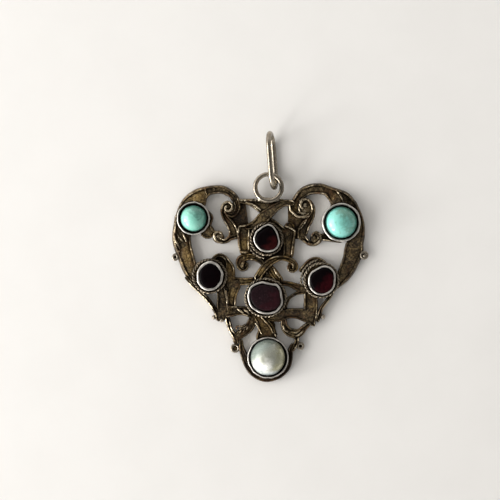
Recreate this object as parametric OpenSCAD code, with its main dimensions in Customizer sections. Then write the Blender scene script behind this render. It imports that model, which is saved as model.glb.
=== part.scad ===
// Openwork heart pendant, lying on its flat back with its face up and its bail towards +Y.
// Straps and scrolls are drawn as rows of points on their middle line, each with its own width. Plan places
// are in millimetres from the middle of the whole pendant, heights are from the surface that it lies on.

/* [Heart] */
// Width of the heart over its two side ringlets
heart_w = 39.8; // [36:0.2:44]
// Height of the channel floors above the back
floor_h = 1; // [0.8:0.05:1.2]
// Height of the raised rims above the back
rim_h = 1.6; // [1.4:0.05:1.8]
// Width of a raised rim
rim_w = 0.24; // [0.2:0.02:0.3]
// How much a strap that crosses over another one stands up
lift_h = 0.3; // [0.2:0.05:0.4]
// Height of the sunk webs between the straps
web_h = 0.5; // [0.4:0.05:0.7]

/* [Stone cups] */
// Height of the turquoise cups
turquoise_cup_h = 2.9; // [2.6:0.1:3.2]
// Height of the garnet cups
garnet_cup_h = 2.8; // [2.6:0.1:3.2]
// Height of the pearl cup
pearl_cup_h = 2.4; // [2.2:0.1:2.8]
// Height of the floor that the stones sit on
seat_h = 0.7; // [0.6:0.05:0.8]
// Gap between a stone and the floor of its cup
seat_gap = 0.05; // [0.04:0.01:0.08]
// Radius of the twisted wire round the garnet cups
collar_r = 0.24; // [0.2:0.01:0.28]

/* [Stones] */
// Height of the turquoise domes above the back
turquoise_top_h = 4.3; // [4:0.1:4.6]
// Height of the garnets' flat tops above the back
garnet_top_h = 3; // [2.8:0.1:3.2]
// Width of the sloping facets round a garnet's flat top
facet_w = 0.45; // [0.3:0.05:0.6]
// Half width of the pearl
pearl_rx = 3.4; // [3.2:0.05:3.5]
// Half length of the pearl
pearl_ry = 3.6; // [3.4:0.05:3.65]
// Height of the pearl's middle above the back
pearl_mid_h = 1.4; // [1.2:0.05:1.6]

/* [Jump ring and bail] */
// Radius of the jump ring to the middle of its wire
ring_r = 2.65; // [2.5:0.05:2.8]
// Thickness of the jump ring's wire
ring_wire = 0.92; // [0.8:0.02:1]
// Height of the middle of the jump ring above the back
ring_h = 1.67; // [1.6:0.01:1.7]
// Length of the bail
bail_len = 11.8; // [11.4:0.1:12]
// Width of the bail across its two strands
bail_w = 6.3; // [6.2:0.1:6.4]
// Thickness of the bail's wire
bail_wire = 1.04; // [0.94:0.02:1.1]
// How far the bail leans to the left of upright, in degrees
bail_lean = 10.5; // [8:0.5:12]
// How far the bail is turned from straight up the heart, in degrees
bail_turn = 4.5; // [3:0.5:6]

/* [Hidden] */
$fn = 48;
drawn_w = 39.8;
plan = heart_w / drawn_w;

// Middle of the jump ring, middle of the bail across the heart, and the top of the bail
RING_AT = [-0.3, 13.9];
bail_x = 0.4;
top_y = 25.1;

// Points worked out between two rows of a table, sides of a strap's round foot, and a hair's breadth
steps = 2;
edge_cut = 0.02;
foot_sides = 14;

// Straps of the lower level. Each has a name and rows of x, y and width.
STRAPS = [
    ["left side", [[-18.2, 7.8, 2], [-17.8, 5.2, 3.6], [-17.7, 3.2, 3.7], [-17.3, 1.4, 3.5],
        [-16.7, -0.4, 3.3], [-16.1, -2.2, 3.1], [-15.2, -4, 2.5], [-13.8, -5.8, 1.4]]],
    ["left scroll", [[-18.3, 8.6, 1.2], [-17.3, 10.5, 1.6], [-15.9, 11.6, 2.4], [-14.2, 12.5, 2.6],
        [-12.7, 13.2, 2], [-11.2, 13.5, 1.8], [-9.6, 13.5, 1.7], [-8.2, 12.9, 1.6], [-7.2, 12, 1.6],
        [-6.6, 10.8, 1.5], [-6.5, 9.7, 1.4], [-7, 8.7, 1.2], [-7.8, 8.4, 1], [-8.6, 8.8, 0.8]]],
    ["left stem", [[-9.3, 9.8, 1], [-9.3, 8.8, 1.2], [-8.8, 7.7, 1.4], [-8, 6.6, 1.8], [-7.4, 5.5, 1.9],
        [-7.1, 4.6, 1.7]]],
    ["left bar", [[-5.2, 5.3, 2.6], [-5.2, 3.8, 2.6], [-5, 1.2, 2.2]]],
    ["left small scroll", [[-6.7, 4.2, 1.2], [-7.9, 3.8, 1.1], [-8.8, 3.2, 1], [-9.7, 3.2, 1.2],
        [-10.5, 3.6, 1.3]]],
    ["left lobe", [[-12.8, 9, 1.2], [-12.3, 7.9, 1.9], [-12.4, 6.5, 1.4], [-12.6, 5, 2.8],
        [-11.4, 4.8, 1.4]]],
    ["top bar", [[-5.8, 11.2, 1], [-4, 11, 1.4], [-2.6, 10.5, 2], [-1.2, 10, 2.6], [0.8, 10.8, 1.9],
        [2.4, 11.2, 1]]],
    ["right scroll", [[16.4, 10.6, 2], [15, 11.8, 2.6], [13.4, 12.5, 2.5], [11.8, 13.2, 2.1], [10, 13.7, 2.2],
        [8.2, 13.6, 2.1], [6.7, 12.9, 2.1], [5.6, 11.7, 1.9], [5, 10.2, 2], [5.4, 8.9, 1.8], [6.5, 8.2, 1.2],
        [7.6, 8.4, 0.9], [8.3, 9.1, 0.8], [8.5, 10.1, 0.7]]],
    ["right side", [[16.4, 10.4, 2.4], [17.6, 8.6, 1.6], [18.2, 6.6, 1.6], [17.9, 4.4, 2.4], [17.1, 2.6, 3.6],
        [16.8, 1, 3.9], [16.3, -0.6, 3.5], [15.6, -2.2, 3.3], [14.6, -4, 2.6], [13.4, -5.6, 1.6]]],
    ["right stem", [[8.5, 10.6, 0.6], [8.7, 9.8, 0.8], [8.5, 8.6, 1.2], [7.9, 7.4, 1.6], [7.1, 6.3, 2],
        [6.6, 5.2, 2.2], [6.4, 4.3, 2]]],
    ["right small scroll", [[6.5, 4.1, 1.6], [7.2, 3.3, 1.2], [8.1, 2.7, 1.1], [9.1, 2.8, 1.2],
        [9.8, 3.3, 1.2]]],
    ["right bridge", [[9.9, 4, 1.4], [12, 3.9, 1.7], [14, 3.4, 1.2]]],
    ["right bar", [[3.9, 5.9, 2.2], [3.9, 3.4, 2.4], [3.7, 0.6, 2.2]]],
    ["top garnet edge", [[0.2, 7, 1.6], [1.2, 6.2, 1.8], [2.2, 5.4, 1.8], [3.2, 4.8, 1.6]]],
    ["middle left scroll", [[-1.2, -1.4, 1], [-2.4, -0.5, 1.2], [-3.6, 0, 1.4], [-4.8, 0, 1.6],
        [-5.9, -0.6, 1.7], [-6.2, -1.6, 1.3], [-5.7, -2.4, 1], [-4.9, -2.3, 0.9], [-4.6, -1.6, 0.8]]],
    ["crossing strap", [[-0.4, -1.8, 1.6], [0.7, -3.1, 1.8], [1.8, -4.6, 1.8]]],
    ["left leaf arch", [[-11.3, -0.3, 0.7], [-10.8, 0.2, 0.7], [-10, 0.4, 0.8], [-9.1, 0, 0.8],
        [-8.4, -0.9, 1], [-8, -2.2, 1.8], [-8.1, -3.8, 2.3], [-8.2, -5.4, 2.4]]],
    ["upper cross bar", [[-8.2, -4.8, 1.8], [-6.4, -4.9, 1.7], [-4.8, -4.9, 1.6], [-3, -4.8, 1.6]]],
    ["inner left upright", [[-7, -5.8, 2.4], [-7.5, -7.2, 2.1], [-7.7, -8.6, 1.9], [-7.7, -9.8, 1.9]]],
    ["outer left upright", [[-9.8, -6.4, 1.8], [-9.6, -8, 2.1], [-9.5, -9.8, 2.4], [-9.3, -11.4, 2.4]]],
    ["lower cross bar", [[-9.8, -11.1, 2.4], [-8, -11, 2.1], [-6.4, -10.8, 1.9], [-4.8, -10.9, 1.8],
        [-3.6, -11.6, 1.6]]],
    ["lower left leaf", [[-3.4, -12.2, 1.6], [-4, -13.8, 1.8], [-5.1, -14.9, 1.8], [-6.3, -15.8, 1.8],
        [-6.8, -16.8, 1.3]]],
    ["lower left rim", [[-8.5, -12.6, 1.2], [-8.2, -13.7, 1.1], [-7.8, -14.8, 1], [-7.1, -15.9, 1.2],
        [-6.7, -17, 1]]],
    ["cup band", [[-5.8, -17, 0.9], [-5.7, -18.2, 1.1], [-5.1, -20, 1.5], [-4.5, -21.6, 1.5],
        [-3.6, -23, 1.5], [-2.2, -24, 1.5], [-0.6, -24.4, 1.4], [1, -24.1, 1.4], [2.4, -23.2, 1.6],
        [3.4, -21.9, 1.6], [3.9, -20.2, 1.4], [4.1, -18.8, 1.2], [4.5, -17.8, 1]]],
    ["pearl strap", [[-2.6, -11.4, 2], [-1.6, -12.9, 2.4], [-0.8, -14.5, 3.4], [-0.7, -16, 4.2]]],
    ["right foot bar", [[0.4, -11.8, 2.4], [2, -11.8, 2.4], [3.6, -11.35, 2.1], [5.4, -11.35, 2.2],
        [7, -11.7, 2.6], [8.2, -12.2, 2.4]]],
    ["right upright", [[8.1, -6.8, 2.6], [8.2, -8.6, 2.8], [8.2, -10.6, 2.8], [8.3, -12.6, 2.2],
        [8.6, -13.3, 1.2]]],
    ["right branch", [[1.8, -5.2, 1.2], [3.2, -5.3, 1.1], [4.4, -5.6, 1.2], [5.6, -6.1, 1.5],
        [6.9, -6.4, 1.8]]],
    ["right twig", [[6.8, -6.9, 1.2], [5.4, -7.3, 0.8], [4.3, -7.9, 0.7], [3.5, -8.7, 0.8], [3, -9.8, 1]]],
    ["lower right leaf", [[2.8, -12.9, 1.3], [2.9, -13.8, 1.5], [3.5, -14.8, 1.8], [4.5, -15.3, 1.9],
        [5.4, -15.4, 1.9], [6.2, -15, 1.6], [6.9, -14.2, 1.3], [7.6, -13.6, 1.1]]],
    ["lower right link", [[5.1, -15.6, 1.6], [5.4, -16.6, 1], [5.2, -17.4, 1], [4.6, -18.4, 1.1]]],
    ["left strut", [[-16.8, -4.2, 0.6], [-15.5, -5.7, 0.7], [-14, -7.1, 0.8], [-12.7, -8.3, 0.9],
        [-11.6, -9.7, 0.9], [-10.8, -11.1, 1], [-10.4, -12.4, 1]]],
    ["right strut", [[12.3, -7.6, 0.8], [11.2, -9.1, 0.8], [10.4, -10.2, 0.8], [10, -11.2, 0.9],
        [9.6, -12.6, 0.9]]],
    ["right arch", [[6.3, -2.6, 1], [6.9, -1.9, 0.9], [7.8, -0.9, 0.9], [9, -0.4, 0.9], [10.1, -0.6, 0.8],
        [11, -1.2, 0.8]]]
];

// Straps that cross over the others. Each has a name and rows of x, y and width.
OVER_STRAPS = [
    ["diagonal strap", [[4.2, 10.8, 1.4], [2.8, 10.8, 1.5], [1.4, 10.1, 1.7], [0.1, 9.1, 2.1], [-1.2, 8, 2.5],
        [-2.8, 6.7, 1.8], [-4.4, 6, 1.2]]],
    ["middle arc", [[-2.4, -4, 1.6], [-1.4, -2.5, 1.6], [-0.3, -1.3, 1.6], [1, -0.5, 1.4], [2.4, -0.2, 1.1],
        [3.8, -0.5, 1.2], [4.8, -1.3, 1.4], [5.1, -2.2, 1.2], [4.6, -2.8, 0.8], [3.9, -2.6, 0.7],
        [3.7, -1.9, 0.6]]]
];

// Raised ridges that stand in the channels. Each has a name and rows of x, y and width.
RIDGES = [
    ["left volute", [[-9.5, 9, 0.4], [-9.6, 9.9, 0.4], [-9.2, 10.6, 0.45], [-8.5, 10.8, 0.45],
        [-7.8, 10.6, 0.45], [-7.5, 9.9, 0.45], [-7.7, 9.2, 0.4], [-8.3, 8.9, 0.4], [-8.8, 9.3, 0.4],
        [-8.8, 9.9, 0.4], [-8.4, 10, 0.45]]],
    ["right volute", [[8.5, 10.1, 0.45], [8.2, 11, 0.45], [7.5, 11.4, 0.45], [6.8, 11.2, 0.5],
        [6.4, 10.5, 0.5], [6.4, 9.8, 0.5], [6.9, 9.5, 0.5], [7.4, 10.1, 0.7]]],
    ["left curl", [[-8.6, 3, 0.4], [-9.4, 2.6, 0.4], [-10.3, 2.9, 0.45], [-11, 3.6, 0.45], [-11.2, 4.3, 0.45],
        [-10.8, 4.9, 0.45], [-10.1, 4.9, 0.4], [-9.6, 4.3, 0.4], [-9.8, 3.7, 0.4], [-10.4, 4, 0.5]]],
    ["right curl", [[8.1, 2.2, 0.4], [8.8, 2.3, 0.4], [9.8, 2.9, 0.45], [10.3, 3.8, 0.45], [9.9, 4.6, 0.45],
        [9.2, 4.8, 0.45], [8.6, 4.2, 0.4], [8.8, 3.5, 0.4], [9.3, 3.8, 0.6]]],
    ["left bar rim", [[-6.2, 6.2, 0.3], [-6.3, 3.8, 0.3], [-6, 1.4, 0.3]]],
    ["left bar inner rim", [[-4.1, 5.6, 0.3], [-4.1, 3.8, 0.35], [-4, 1.4, 0.35]]],
    ["right bar rim", [[3.1, 6.3, 0.3], [4.2, 5.5, 0.3], [5, 4.6, 0.3], [4.5, 2.6, 0.3], [4.4, 0.6, 0.3]]],
    ["upper bar rim", [[-3.8, 11.1, 0.3], [-2.6, 10.6, 0.3], [-1.4, 9.9, 0.3]]],
    ["left upright rim", [[-9.1, -6.6, 0.3], [-8.7, -7.2, 0.3], [-8.6, -8.6, 0.3], [-8.4, -10, 0.4],
        [-6.9, -10, 0.3]]],
    ["right upright rim", [[7, -7.4, 0.3], [7, -9, 0.3], [7, -10.4, 0.3]]],
    ["pearl strap rim", [[-1.6, -12, 0.3], [-0.7, -13, 0.3], [0.1, -14, 0.3], [0.9, -15.4, 0.3]]],
    ["left branch rim", [[-2.8, -13.3, 0.3], [-2.2, -14.2, 0.3], [-1.5, -15.4, 0.3]]],
    ["crossing ridge", [[0.8, -2.4, 0.3], [1.4, -3.4, 0.3], [2, -4.2, 0.3]]],
    ["left shoulder ridge", [[-12.6, 14, 0.3], [-12.3, 13, 0.3], [-12.4, 12.2, 0.3]]],
    ["right shoulder ridge", [[13.2, 13.4, 0.3], [14.2, 12.2, 0.3], [14.7, 11, 0.3]]],
    ["left fold", [[-19.2, 4.8, 0.3], [-18.4, 3.1, 0.35], [-17.6, 1.5, 0.35]]]
];

// Round plates under the scroll eyes, the shoulders, the garnet collars and the crossing: x, y and radius
PLATES = [
    [-8.35, 9.75, 1.4], [7.2, 10.2, 1.6], [-10.3, 3.9, 1.15], [9.3, 3.7, 1.2], [-5.3, -1.6, 0.9],
    [4.4, -1.8, 0.9], [-12.5, 5.1, 1.4], [-13.6, 11.5, 1.45], [-0.6, 3.6, 3.5], [-12.1, -3.8, 3.5],
    [10.3, -4.6, 3.6], [-0.45, -3.9, 0.8], [13.5, 11.05, 1.9]
];

// Closed outlines of the sunk webs: two beside the large scrolls, one round the top garnet, one at the
// crossing, two at the foot bar, one beside the pearl strap and two under the arches beside the left and
// right garnets. Each row is x and y.
WEBS = [
    [[-6.3, 11.2], [-4.9, 10.8], [-4.6, 8.6], [-4.3, 6.4], [-6.6, 5.4], [-8.2, 7.2], [-8.3, 8.3],
        [-6.8, 9.4]],
    [[3.6, 10.2], [4.6, 9.4], [6, 8.2], [7.3, 7.8], [7.2, 6.6], [6.4, 4.6], [5.6, 3.6], [4.8, 3.6],
        [3.6, 5.8]],
    [[-3.2, 5.8], [-4.4, 5.8], [-4.4, 0.4], [-2.6, -0.4], [-1.4, -0.9], [-0.3, -0.9], [1, -0.2], [2.4, 0],
        [3.4, 0.4], [3.4, 2.6], [1.6, 2.4], [0, 0.8], [-2.4, 1.6], [-3.2, 3.6]],
    [[-2, -4.6], [-0.9, -2.2], [0.2, -2.8], [1.4, -4.9], [-0.4, -5.2]],
    [[2.2, -9.8], [3.4, -9.9], [3.6, -11], [1.6, -11]],
    [[-1.6, -11.2], [0, -11.2], [0, -12.6], [-0.8, -12.8]],
    [[-0.8, -12.6], [0.6, -12.6], [1.1, -13.6], [1.1, -14.4], [1.5, -15.6], [0.6, -15.8], [-0.2, -14]],
    [[-11.2, -0.3], [-10, 0.2], [-8.9, -0.4], [-8.5, -1.4], [-8.6, -3], [-9.4, -2.6], [-10.4, -1.2]],
    [[6.5, -2.6], [7, -1.9], [7.9, -1], [9, -0.5], [10.6, -0.9], [10.3, -2], [8, -3], [7, -4.4], [6.7, -3.8]]
];

// Small balls and ringlets at the edge: x, y, outer radius and hole radius, with 0 for a ball
EDGE_DROPS = [
    [-19.15, 0, 0.75, 0.3], [18.95, 0.3, 0.95, 0.35], [-7, -18.3, 0.95, 0.5], [6.1, -17.9, 0.9, 0.35],
    [-11.2, -12.1, 0.45, 0], [10.7, -12.1, 0.5, 0]
];
// Height of the balls and ringlets
edge_drop_h = 1.1;

// Centres of the stones and of their cups
TURQUOISE_LEFT_AT = [-15.3, 7.7];
TURQUOISE_RIGHT_AT = [14.2, 6.9];
GARNET_TOP_AT = [-0.7, 3.6];
GARNET_LEFT_AT = [-12.1, -3.8];
GARNET_RIGHT_AT = [10.3, -4.6];
GARNET_CENTRE_AT = [-0.9, -8.1];
PEARL_AT = [-0.4, -20.1];
turquoise_left_r = 2.6 * plan;
turquoise_right_r = 3.15 * plan;
dome_edge_h = 2.2;
garnet_slope_h = 0.35;
cup_wall = 0.3;
garnet_wall = 0.42;
stone_gap = 0.4;
garnet_gap = 0.06;
pearl_cup_r = 4.1;
collar_h = 1.8;

// Outlines of the garnets as seen from above, from each stone's centre: x and y
GARNET_TOP_EDGE = [[0.5, 2.2], [-0.9, 1.5], [-1.8, 0.6], [-2, -0.4], [-1.6, -1.3], [-0.5, -1.9], [0.9, -2],
    [1.8, -1.4], [2, -0.4], [1.6, 0.9]];
GARNET_LEFT_EDGE = [[0.1, 2.3], [-0.9, 1.9], [-1.6, 1], [-1.7, -0.6], [-1.2, -1.7], [-0.1, -2.4], [1, -2],
    [1.8, -1.1], [2, 0.2], [1.6, 1.4], [0.9, 2.1]];
GARNET_RIGHT_EDGE = [[0.5, 2.2], [1.7, 1.6], [2.1, 0.4], [1.9, -1.1], [1.1, -2.2], [-0.3, -2.3], [-1.5, -1.6],
    [-2.1, -0.2], [-1.6, 1.1], [-0.5, 2]];
GARNET_CENTRE_EDGE = [[-1.5, 2.2], [0.1, 2.4], [1.7, 2], [2.5, 1.1], [2.8, -0.3], [2.5, -1.4], [1.5, -2.2],
    [-0.1, -2.4], [-1.6, -2], [-2.5, -0.9], [-2.9, 0.4], [-2.5, 1.5]];

// Scale of the plan
function at(p) = [p[0] * plan, p[1] * plan];

// A smooth value between b and c at the fraction t, with a and d as the neighbours
function blend(a, b, c, d, t) =
    b + t * (c - a) / 2 + t * t * (a - 2.5 * b + 2 * c - d / 2) + t * t * t * (1.5 * (b - c) + (d - a) / 2);

// A smooth line through the rows of an open table
function smooth(rows) = let (last = len(rows) - 1) concat(
    [for (i = [0:last - 1]) for (k = [0:steps - 1])
        blend(rows[max(i - 1, 0)], rows[i], rows[i + 1], rows[min(i + 2, last)], k / steps)],
    [rows[last]]);

// A smooth closed line through the points of an outline
function smooth_ring(points) = let (n = len(points))
    [for (i = [0:n - 1]) for (k = [0:steps - 1])
        blend(points[(i + n - 1) % n], points[i], points[(i + 1) % n], points[(i + 2) % n], k / steps)];

// Direction of a line at one of its points
function along(line, i) = let (d = at(line[min(i + 1, len(line) - 1)]) - at(line[max(i - 1, 0)])) d / norm(d);

// The two edge points of a strap at one of its points, narrowed by cut on each side
function edge_pair(line, i, cut) =
    let (d = along(line, i), half = line[i][2] * plan / 2 - cut, side = [-d[1], d[0]] * half)
    [at(line[i]) + side, at(line[i]) - side];

// Plan of one strap, as short flat pieces with round ends
module strap_plan(rows, cut = 0) {
    line = smooth(rows);
    for (i = [0:len(line) - 2]) {
        here = edge_pair(line, i, cut);
        next = edge_pair(line, i + 1, cut);
        polygon([here[0], here[1], next[1], next[0]]);
    }
    for (foot = [line[0], line[len(line) - 1]]) {
        translate(at(foot)) circle(r = foot[2] * plan / 2 - cut, $fn = foot_sides);
    }
}

module straps_plan(table, cut = 0) {
    for (strap = table) {
        strap_plan(strap[1], cut);
    }
}

// Plan of one garnet, grown by the wall round it
module garnet_plan(place, edge, grow = 0) {
    translate(at(place)) offset(delta = grow) polygon([for (p = smooth_ring(edge)) at(p)]);
}

module garnets_plan(grow) {
    garnet_plan(GARNET_TOP_AT, GARNET_TOP_EDGE, grow);
    garnet_plan(GARNET_LEFT_AT, GARNET_LEFT_EDGE, grow);
    garnet_plan(GARNET_RIGHT_AT, GARNET_RIGHT_EDGE, grow);
    garnet_plan(GARNET_CENTRE_AT, GARNET_CENTRE_EDGE, grow);
}

// Plan of the pierced heart without its sunk webs
module heart_plan() {
    offset(delta = 0) {
        straps_plan(STRAPS);
        straps_plan(OVER_STRAPS);
        for (plate = PLATES) {
            translate(at(plate)) circle(r = plate[2] * plan);
        }
        garnet_plan(GARNET_CENTRE_AT, GARNET_CENTRE_EDGE, garnet_wall + 3 * collar_r);
        translate(at(TURQUOISE_LEFT_AT)) circle(r = turquoise_left_r + stone_gap + cup_wall - edge_cut);
        translate(at(TURQUOISE_RIGHT_AT)) circle(r = turquoise_right_r + stone_gap + cup_wall - edge_cut);
        translate(at(PEARL_AT)) circle(r = pearl_cup_r - edge_cut);
    }
}

// Plan of the sunk channel floors between the rims
module channel_plan() {
    offset(delta = 0) difference() {
        offset(delta = -rim_w) heart_plan();
        straps_plan(OVER_STRAPS);
        straps_plan(RIDGES);
    }
}

module over_channel_plan() {
    offset(delta = 0) straps_plan(OVER_STRAPS, rim_w);
}

// The pierced plate with its channels
module pierced_plate() {
    difference() {
        linear_extrude(rim_h) heart_plan();
        translate([0, 0, floor_h]) linear_extrude(rim_h) channel_plan();
    }
}

// The straps that cross over the others
module crossing_straps() {
    difference() {
        linear_extrude(rim_h + lift_h) offset(delta = -edge_cut) straps_plan(OVER_STRAPS);
        translate([0, 0, floor_h + lift_h]) linear_extrude(rim_h) over_channel_plan();
    }
}

module sunk_webs() {
    linear_extrude(web_h) for (web = WEBS) {
        polygon([for (p = web) at(p)]);
    }
}

// Round cup walls for a cabochon
module round_cup(place, inner_r, wall, h) {
    translate(concat(at(place), 0)) cylinder(r = inner_r + wall, h = h);
}

// Wall and twisted collar of one garnet cup
module garnet_cup(place, edge) {
    linear_extrude(garnet_cup_h) garnet_plan(place, edge, garnet_gap + garnet_wall);
    linear_extrude(collar_h) garnet_plan(place, edge, garnet_gap + garnet_wall + 2 * collar_r);
}

module stone_cups() {
    round_cup(TURQUOISE_LEFT_AT, turquoise_left_r + stone_gap, cup_wall, turquoise_cup_h);
    round_cup(TURQUOISE_RIGHT_AT, turquoise_right_r + stone_gap, cup_wall, turquoise_cup_h);
    round_cup(PEARL_AT, pearl_cup_r - cup_wall, cup_wall, pearl_cup_h);
    garnet_cup(GARNET_TOP_AT, GARNET_TOP_EDGE);
    garnet_cup(GARNET_LEFT_AT, GARNET_LEFT_EDGE);
    garnet_cup(GARNET_RIGHT_AT, GARNET_RIGHT_EDGE);
    garnet_cup(GARNET_CENTRE_AT, GARNET_CENTRE_EDGE);
}

// Hollows that the stones sit in
module stone_hollows() {
    deep = turquoise_cup_h + pearl_cup_h;
    translate([0, 0, seat_h]) {
        round_cup(TURQUOISE_LEFT_AT, turquoise_left_r, stone_gap, deep);
        round_cup(TURQUOISE_RIGHT_AT, turquoise_right_r, stone_gap, deep);
        round_cup(PEARL_AT, pearl_cup_r - cup_wall, 0, deep);
        linear_extrude(deep) garnets_plan(garnet_gap);
    }
}

module edge_drops() {
    for (drop = EDGE_DROPS) {
        translate(concat(at(drop), 0)) difference() {
            cylinder(r = drop[2], h = edge_drop_h);
            if (drop[3] > 0) {
                translate([0, 0, -1]) cylinder(r = drop[3], h = edge_drop_h + 2, $fn = 24);
            }
        }
    }
}

module jump_ring() {
    translate(concat(at(RING_AT), ring_h)) rotate_extrude() translate([ring_r, 0])
        circle(d = ring_wire, $fn = 24);
}

module heart_frame() {
    color("darkkhaki") {
        difference() {
            union() {
                pierced_plate();
                crossing_straps();
                sunk_webs();
                stone_cups();
                edge_drops();
            }
            stone_hollows();
        }
        jump_ring();
    }
}

// Half of a wire ring, bent round the end of the bail
module bail_end() {
    rotate_extrude(angle = 180) translate([(bail_w - bail_wire) / 2, 0]) circle(d = bail_wire, $fn = 24);
}

// The bail stands on edge: its lower strand lies on the surface and passes under the jump ring
module bail() {
    mid_r = (bail_w - bail_wire) / 2;
    run = bail_len - bail_w;
    stand = mid_r * cos(bail_lean) + bail_wire / 2;
    color("silver") translate([bail_x * plan, top_y * plan - bail_len / 2, stand]) rotate([0, 0, bail_turn])
        rotate([0, -bail_lean, 0]) rotate([0, 90, 0]) {
            translate([0, run / 2, 0]) bail_end();
            translate([0, -run / 2, 0]) rotate([0, 0, 180]) bail_end();
            for (side = [-1, 1]) {
                translate([side * mid_r, run / 2, 0]) rotate([90, 0, 0])
                    cylinder(d = bail_wire, h = run, $fn = 24);
            }
        }
}

// A cabochon: a short straight girdle under a dome
module cabochon(place, r) {
    rise = turquoise_top_h - dome_edge_h;
    ball_r = (r * r + rise * rise) / (2 * rise);
    base = seat_h + seat_gap;
    color("turquoise") translate(concat(at(place), 0)) intersection() {
        translate([0, 0, base]) cylinder(r = r, h = turquoise_top_h);
        union() {
            translate([0, 0, turquoise_top_h - ball_r]) sphere(r = ball_r, $fn = 96);
            translate([0, 0, base]) cylinder(r = r, h = dome_edge_h - base);
        }
    }
}

// A flat cut garnet: a straight girdle under a ring of sloping facets and a flat table
module garnet(place, edge, tint) {
    base = seat_h + seat_gap;
    color(tint) {
        translate([0, 0, base]) linear_extrude(garnet_top_h - garnet_slope_h - base) garnet_plan(place, edge);
        translate([0, 0, base]) linear_extrude(garnet_top_h - base) garnet_plan(place, edge, -facet_w);
    }
}

module pearl() {
    base = seat_h + seat_gap;
    half = [for (a = [-90:7.5:90]) [pearl_rx * cos(a), pearl_ry * sin(a)]];
    color("darkseagreen") intersection() {
        translate(concat(at(PEARL_AT), pearl_mid_h)) rotate([-90, 0, 0]) rotate_extrude($fn = 64)
            polygon(half);
        translate(concat(at(PEARL_AT), base)) cylinder(r = pearl_ry + 1, h = 2 * pearl_rx);
    }
}

heart_frame();
bail();
cabochon(TURQUOISE_LEFT_AT, turquoise_left_r);  // turquoise_left
cabochon(TURQUOISE_RIGHT_AT, turquoise_right_r);  // turquoise_right
garnet(GARNET_TOP_AT, GARNET_TOP_EDGE, "maroon");  // garnet_top
garnet(GARNET_LEFT_AT, GARNET_LEFT_EDGE, "maroon");  // garnet_left
garnet(GARNET_RIGHT_AT, GARNET_RIGHT_EDGE, "maroon");  // garnet_right
garnet(GARNET_CENTRE_AT, GARNET_CENTRE_EDGE, "dimgray");  // garnet_centre
pearl();
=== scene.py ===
import math

import bpy
import numpy as np
from mathutils import Matrix, Vector, noise


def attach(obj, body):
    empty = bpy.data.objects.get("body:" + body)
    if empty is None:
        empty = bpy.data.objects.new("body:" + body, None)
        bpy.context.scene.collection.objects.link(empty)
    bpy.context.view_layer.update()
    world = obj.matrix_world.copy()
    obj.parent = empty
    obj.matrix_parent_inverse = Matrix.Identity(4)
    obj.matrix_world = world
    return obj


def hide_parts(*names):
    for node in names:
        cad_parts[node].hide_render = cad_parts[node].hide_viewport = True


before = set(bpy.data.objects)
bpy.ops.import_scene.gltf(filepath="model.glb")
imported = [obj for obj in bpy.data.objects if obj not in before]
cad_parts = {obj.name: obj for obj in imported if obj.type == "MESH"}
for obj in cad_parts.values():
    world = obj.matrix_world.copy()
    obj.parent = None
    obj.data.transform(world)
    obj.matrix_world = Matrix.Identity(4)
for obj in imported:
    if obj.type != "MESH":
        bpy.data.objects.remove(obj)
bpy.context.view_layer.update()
bpy.ops.object.select_all(action="DESELECT")

# Sizes, in millimetres. The metalwork is modelled in millimetres and brought to metres at the end.
MM = 0.001
FLOOR = 1.05  # height of the channel floors
RIM_TOP = 1.62  # height of the rims
RIM = 0.29  # width of a rim
SLOPE = 0.13  # how far the side walls lean in towards the rims
SEAT = 0.7  # height of the floors of the stone cups
STONE_GAP = 0.05  # between a stone and the floor of its cup
SEAT_CUT = 0.05  # how far the casting is cut away below the floors of the cups
SEAT_ROOM = 0.02  # and how far past the inner walls of the round cups
SPACING = 0.3  # between the cross sections of a strap
STRAP_COLUMNS = 25  # points across a strap
WIRE_FOOT = 0.5  # height that the raised wires reach down to

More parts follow.
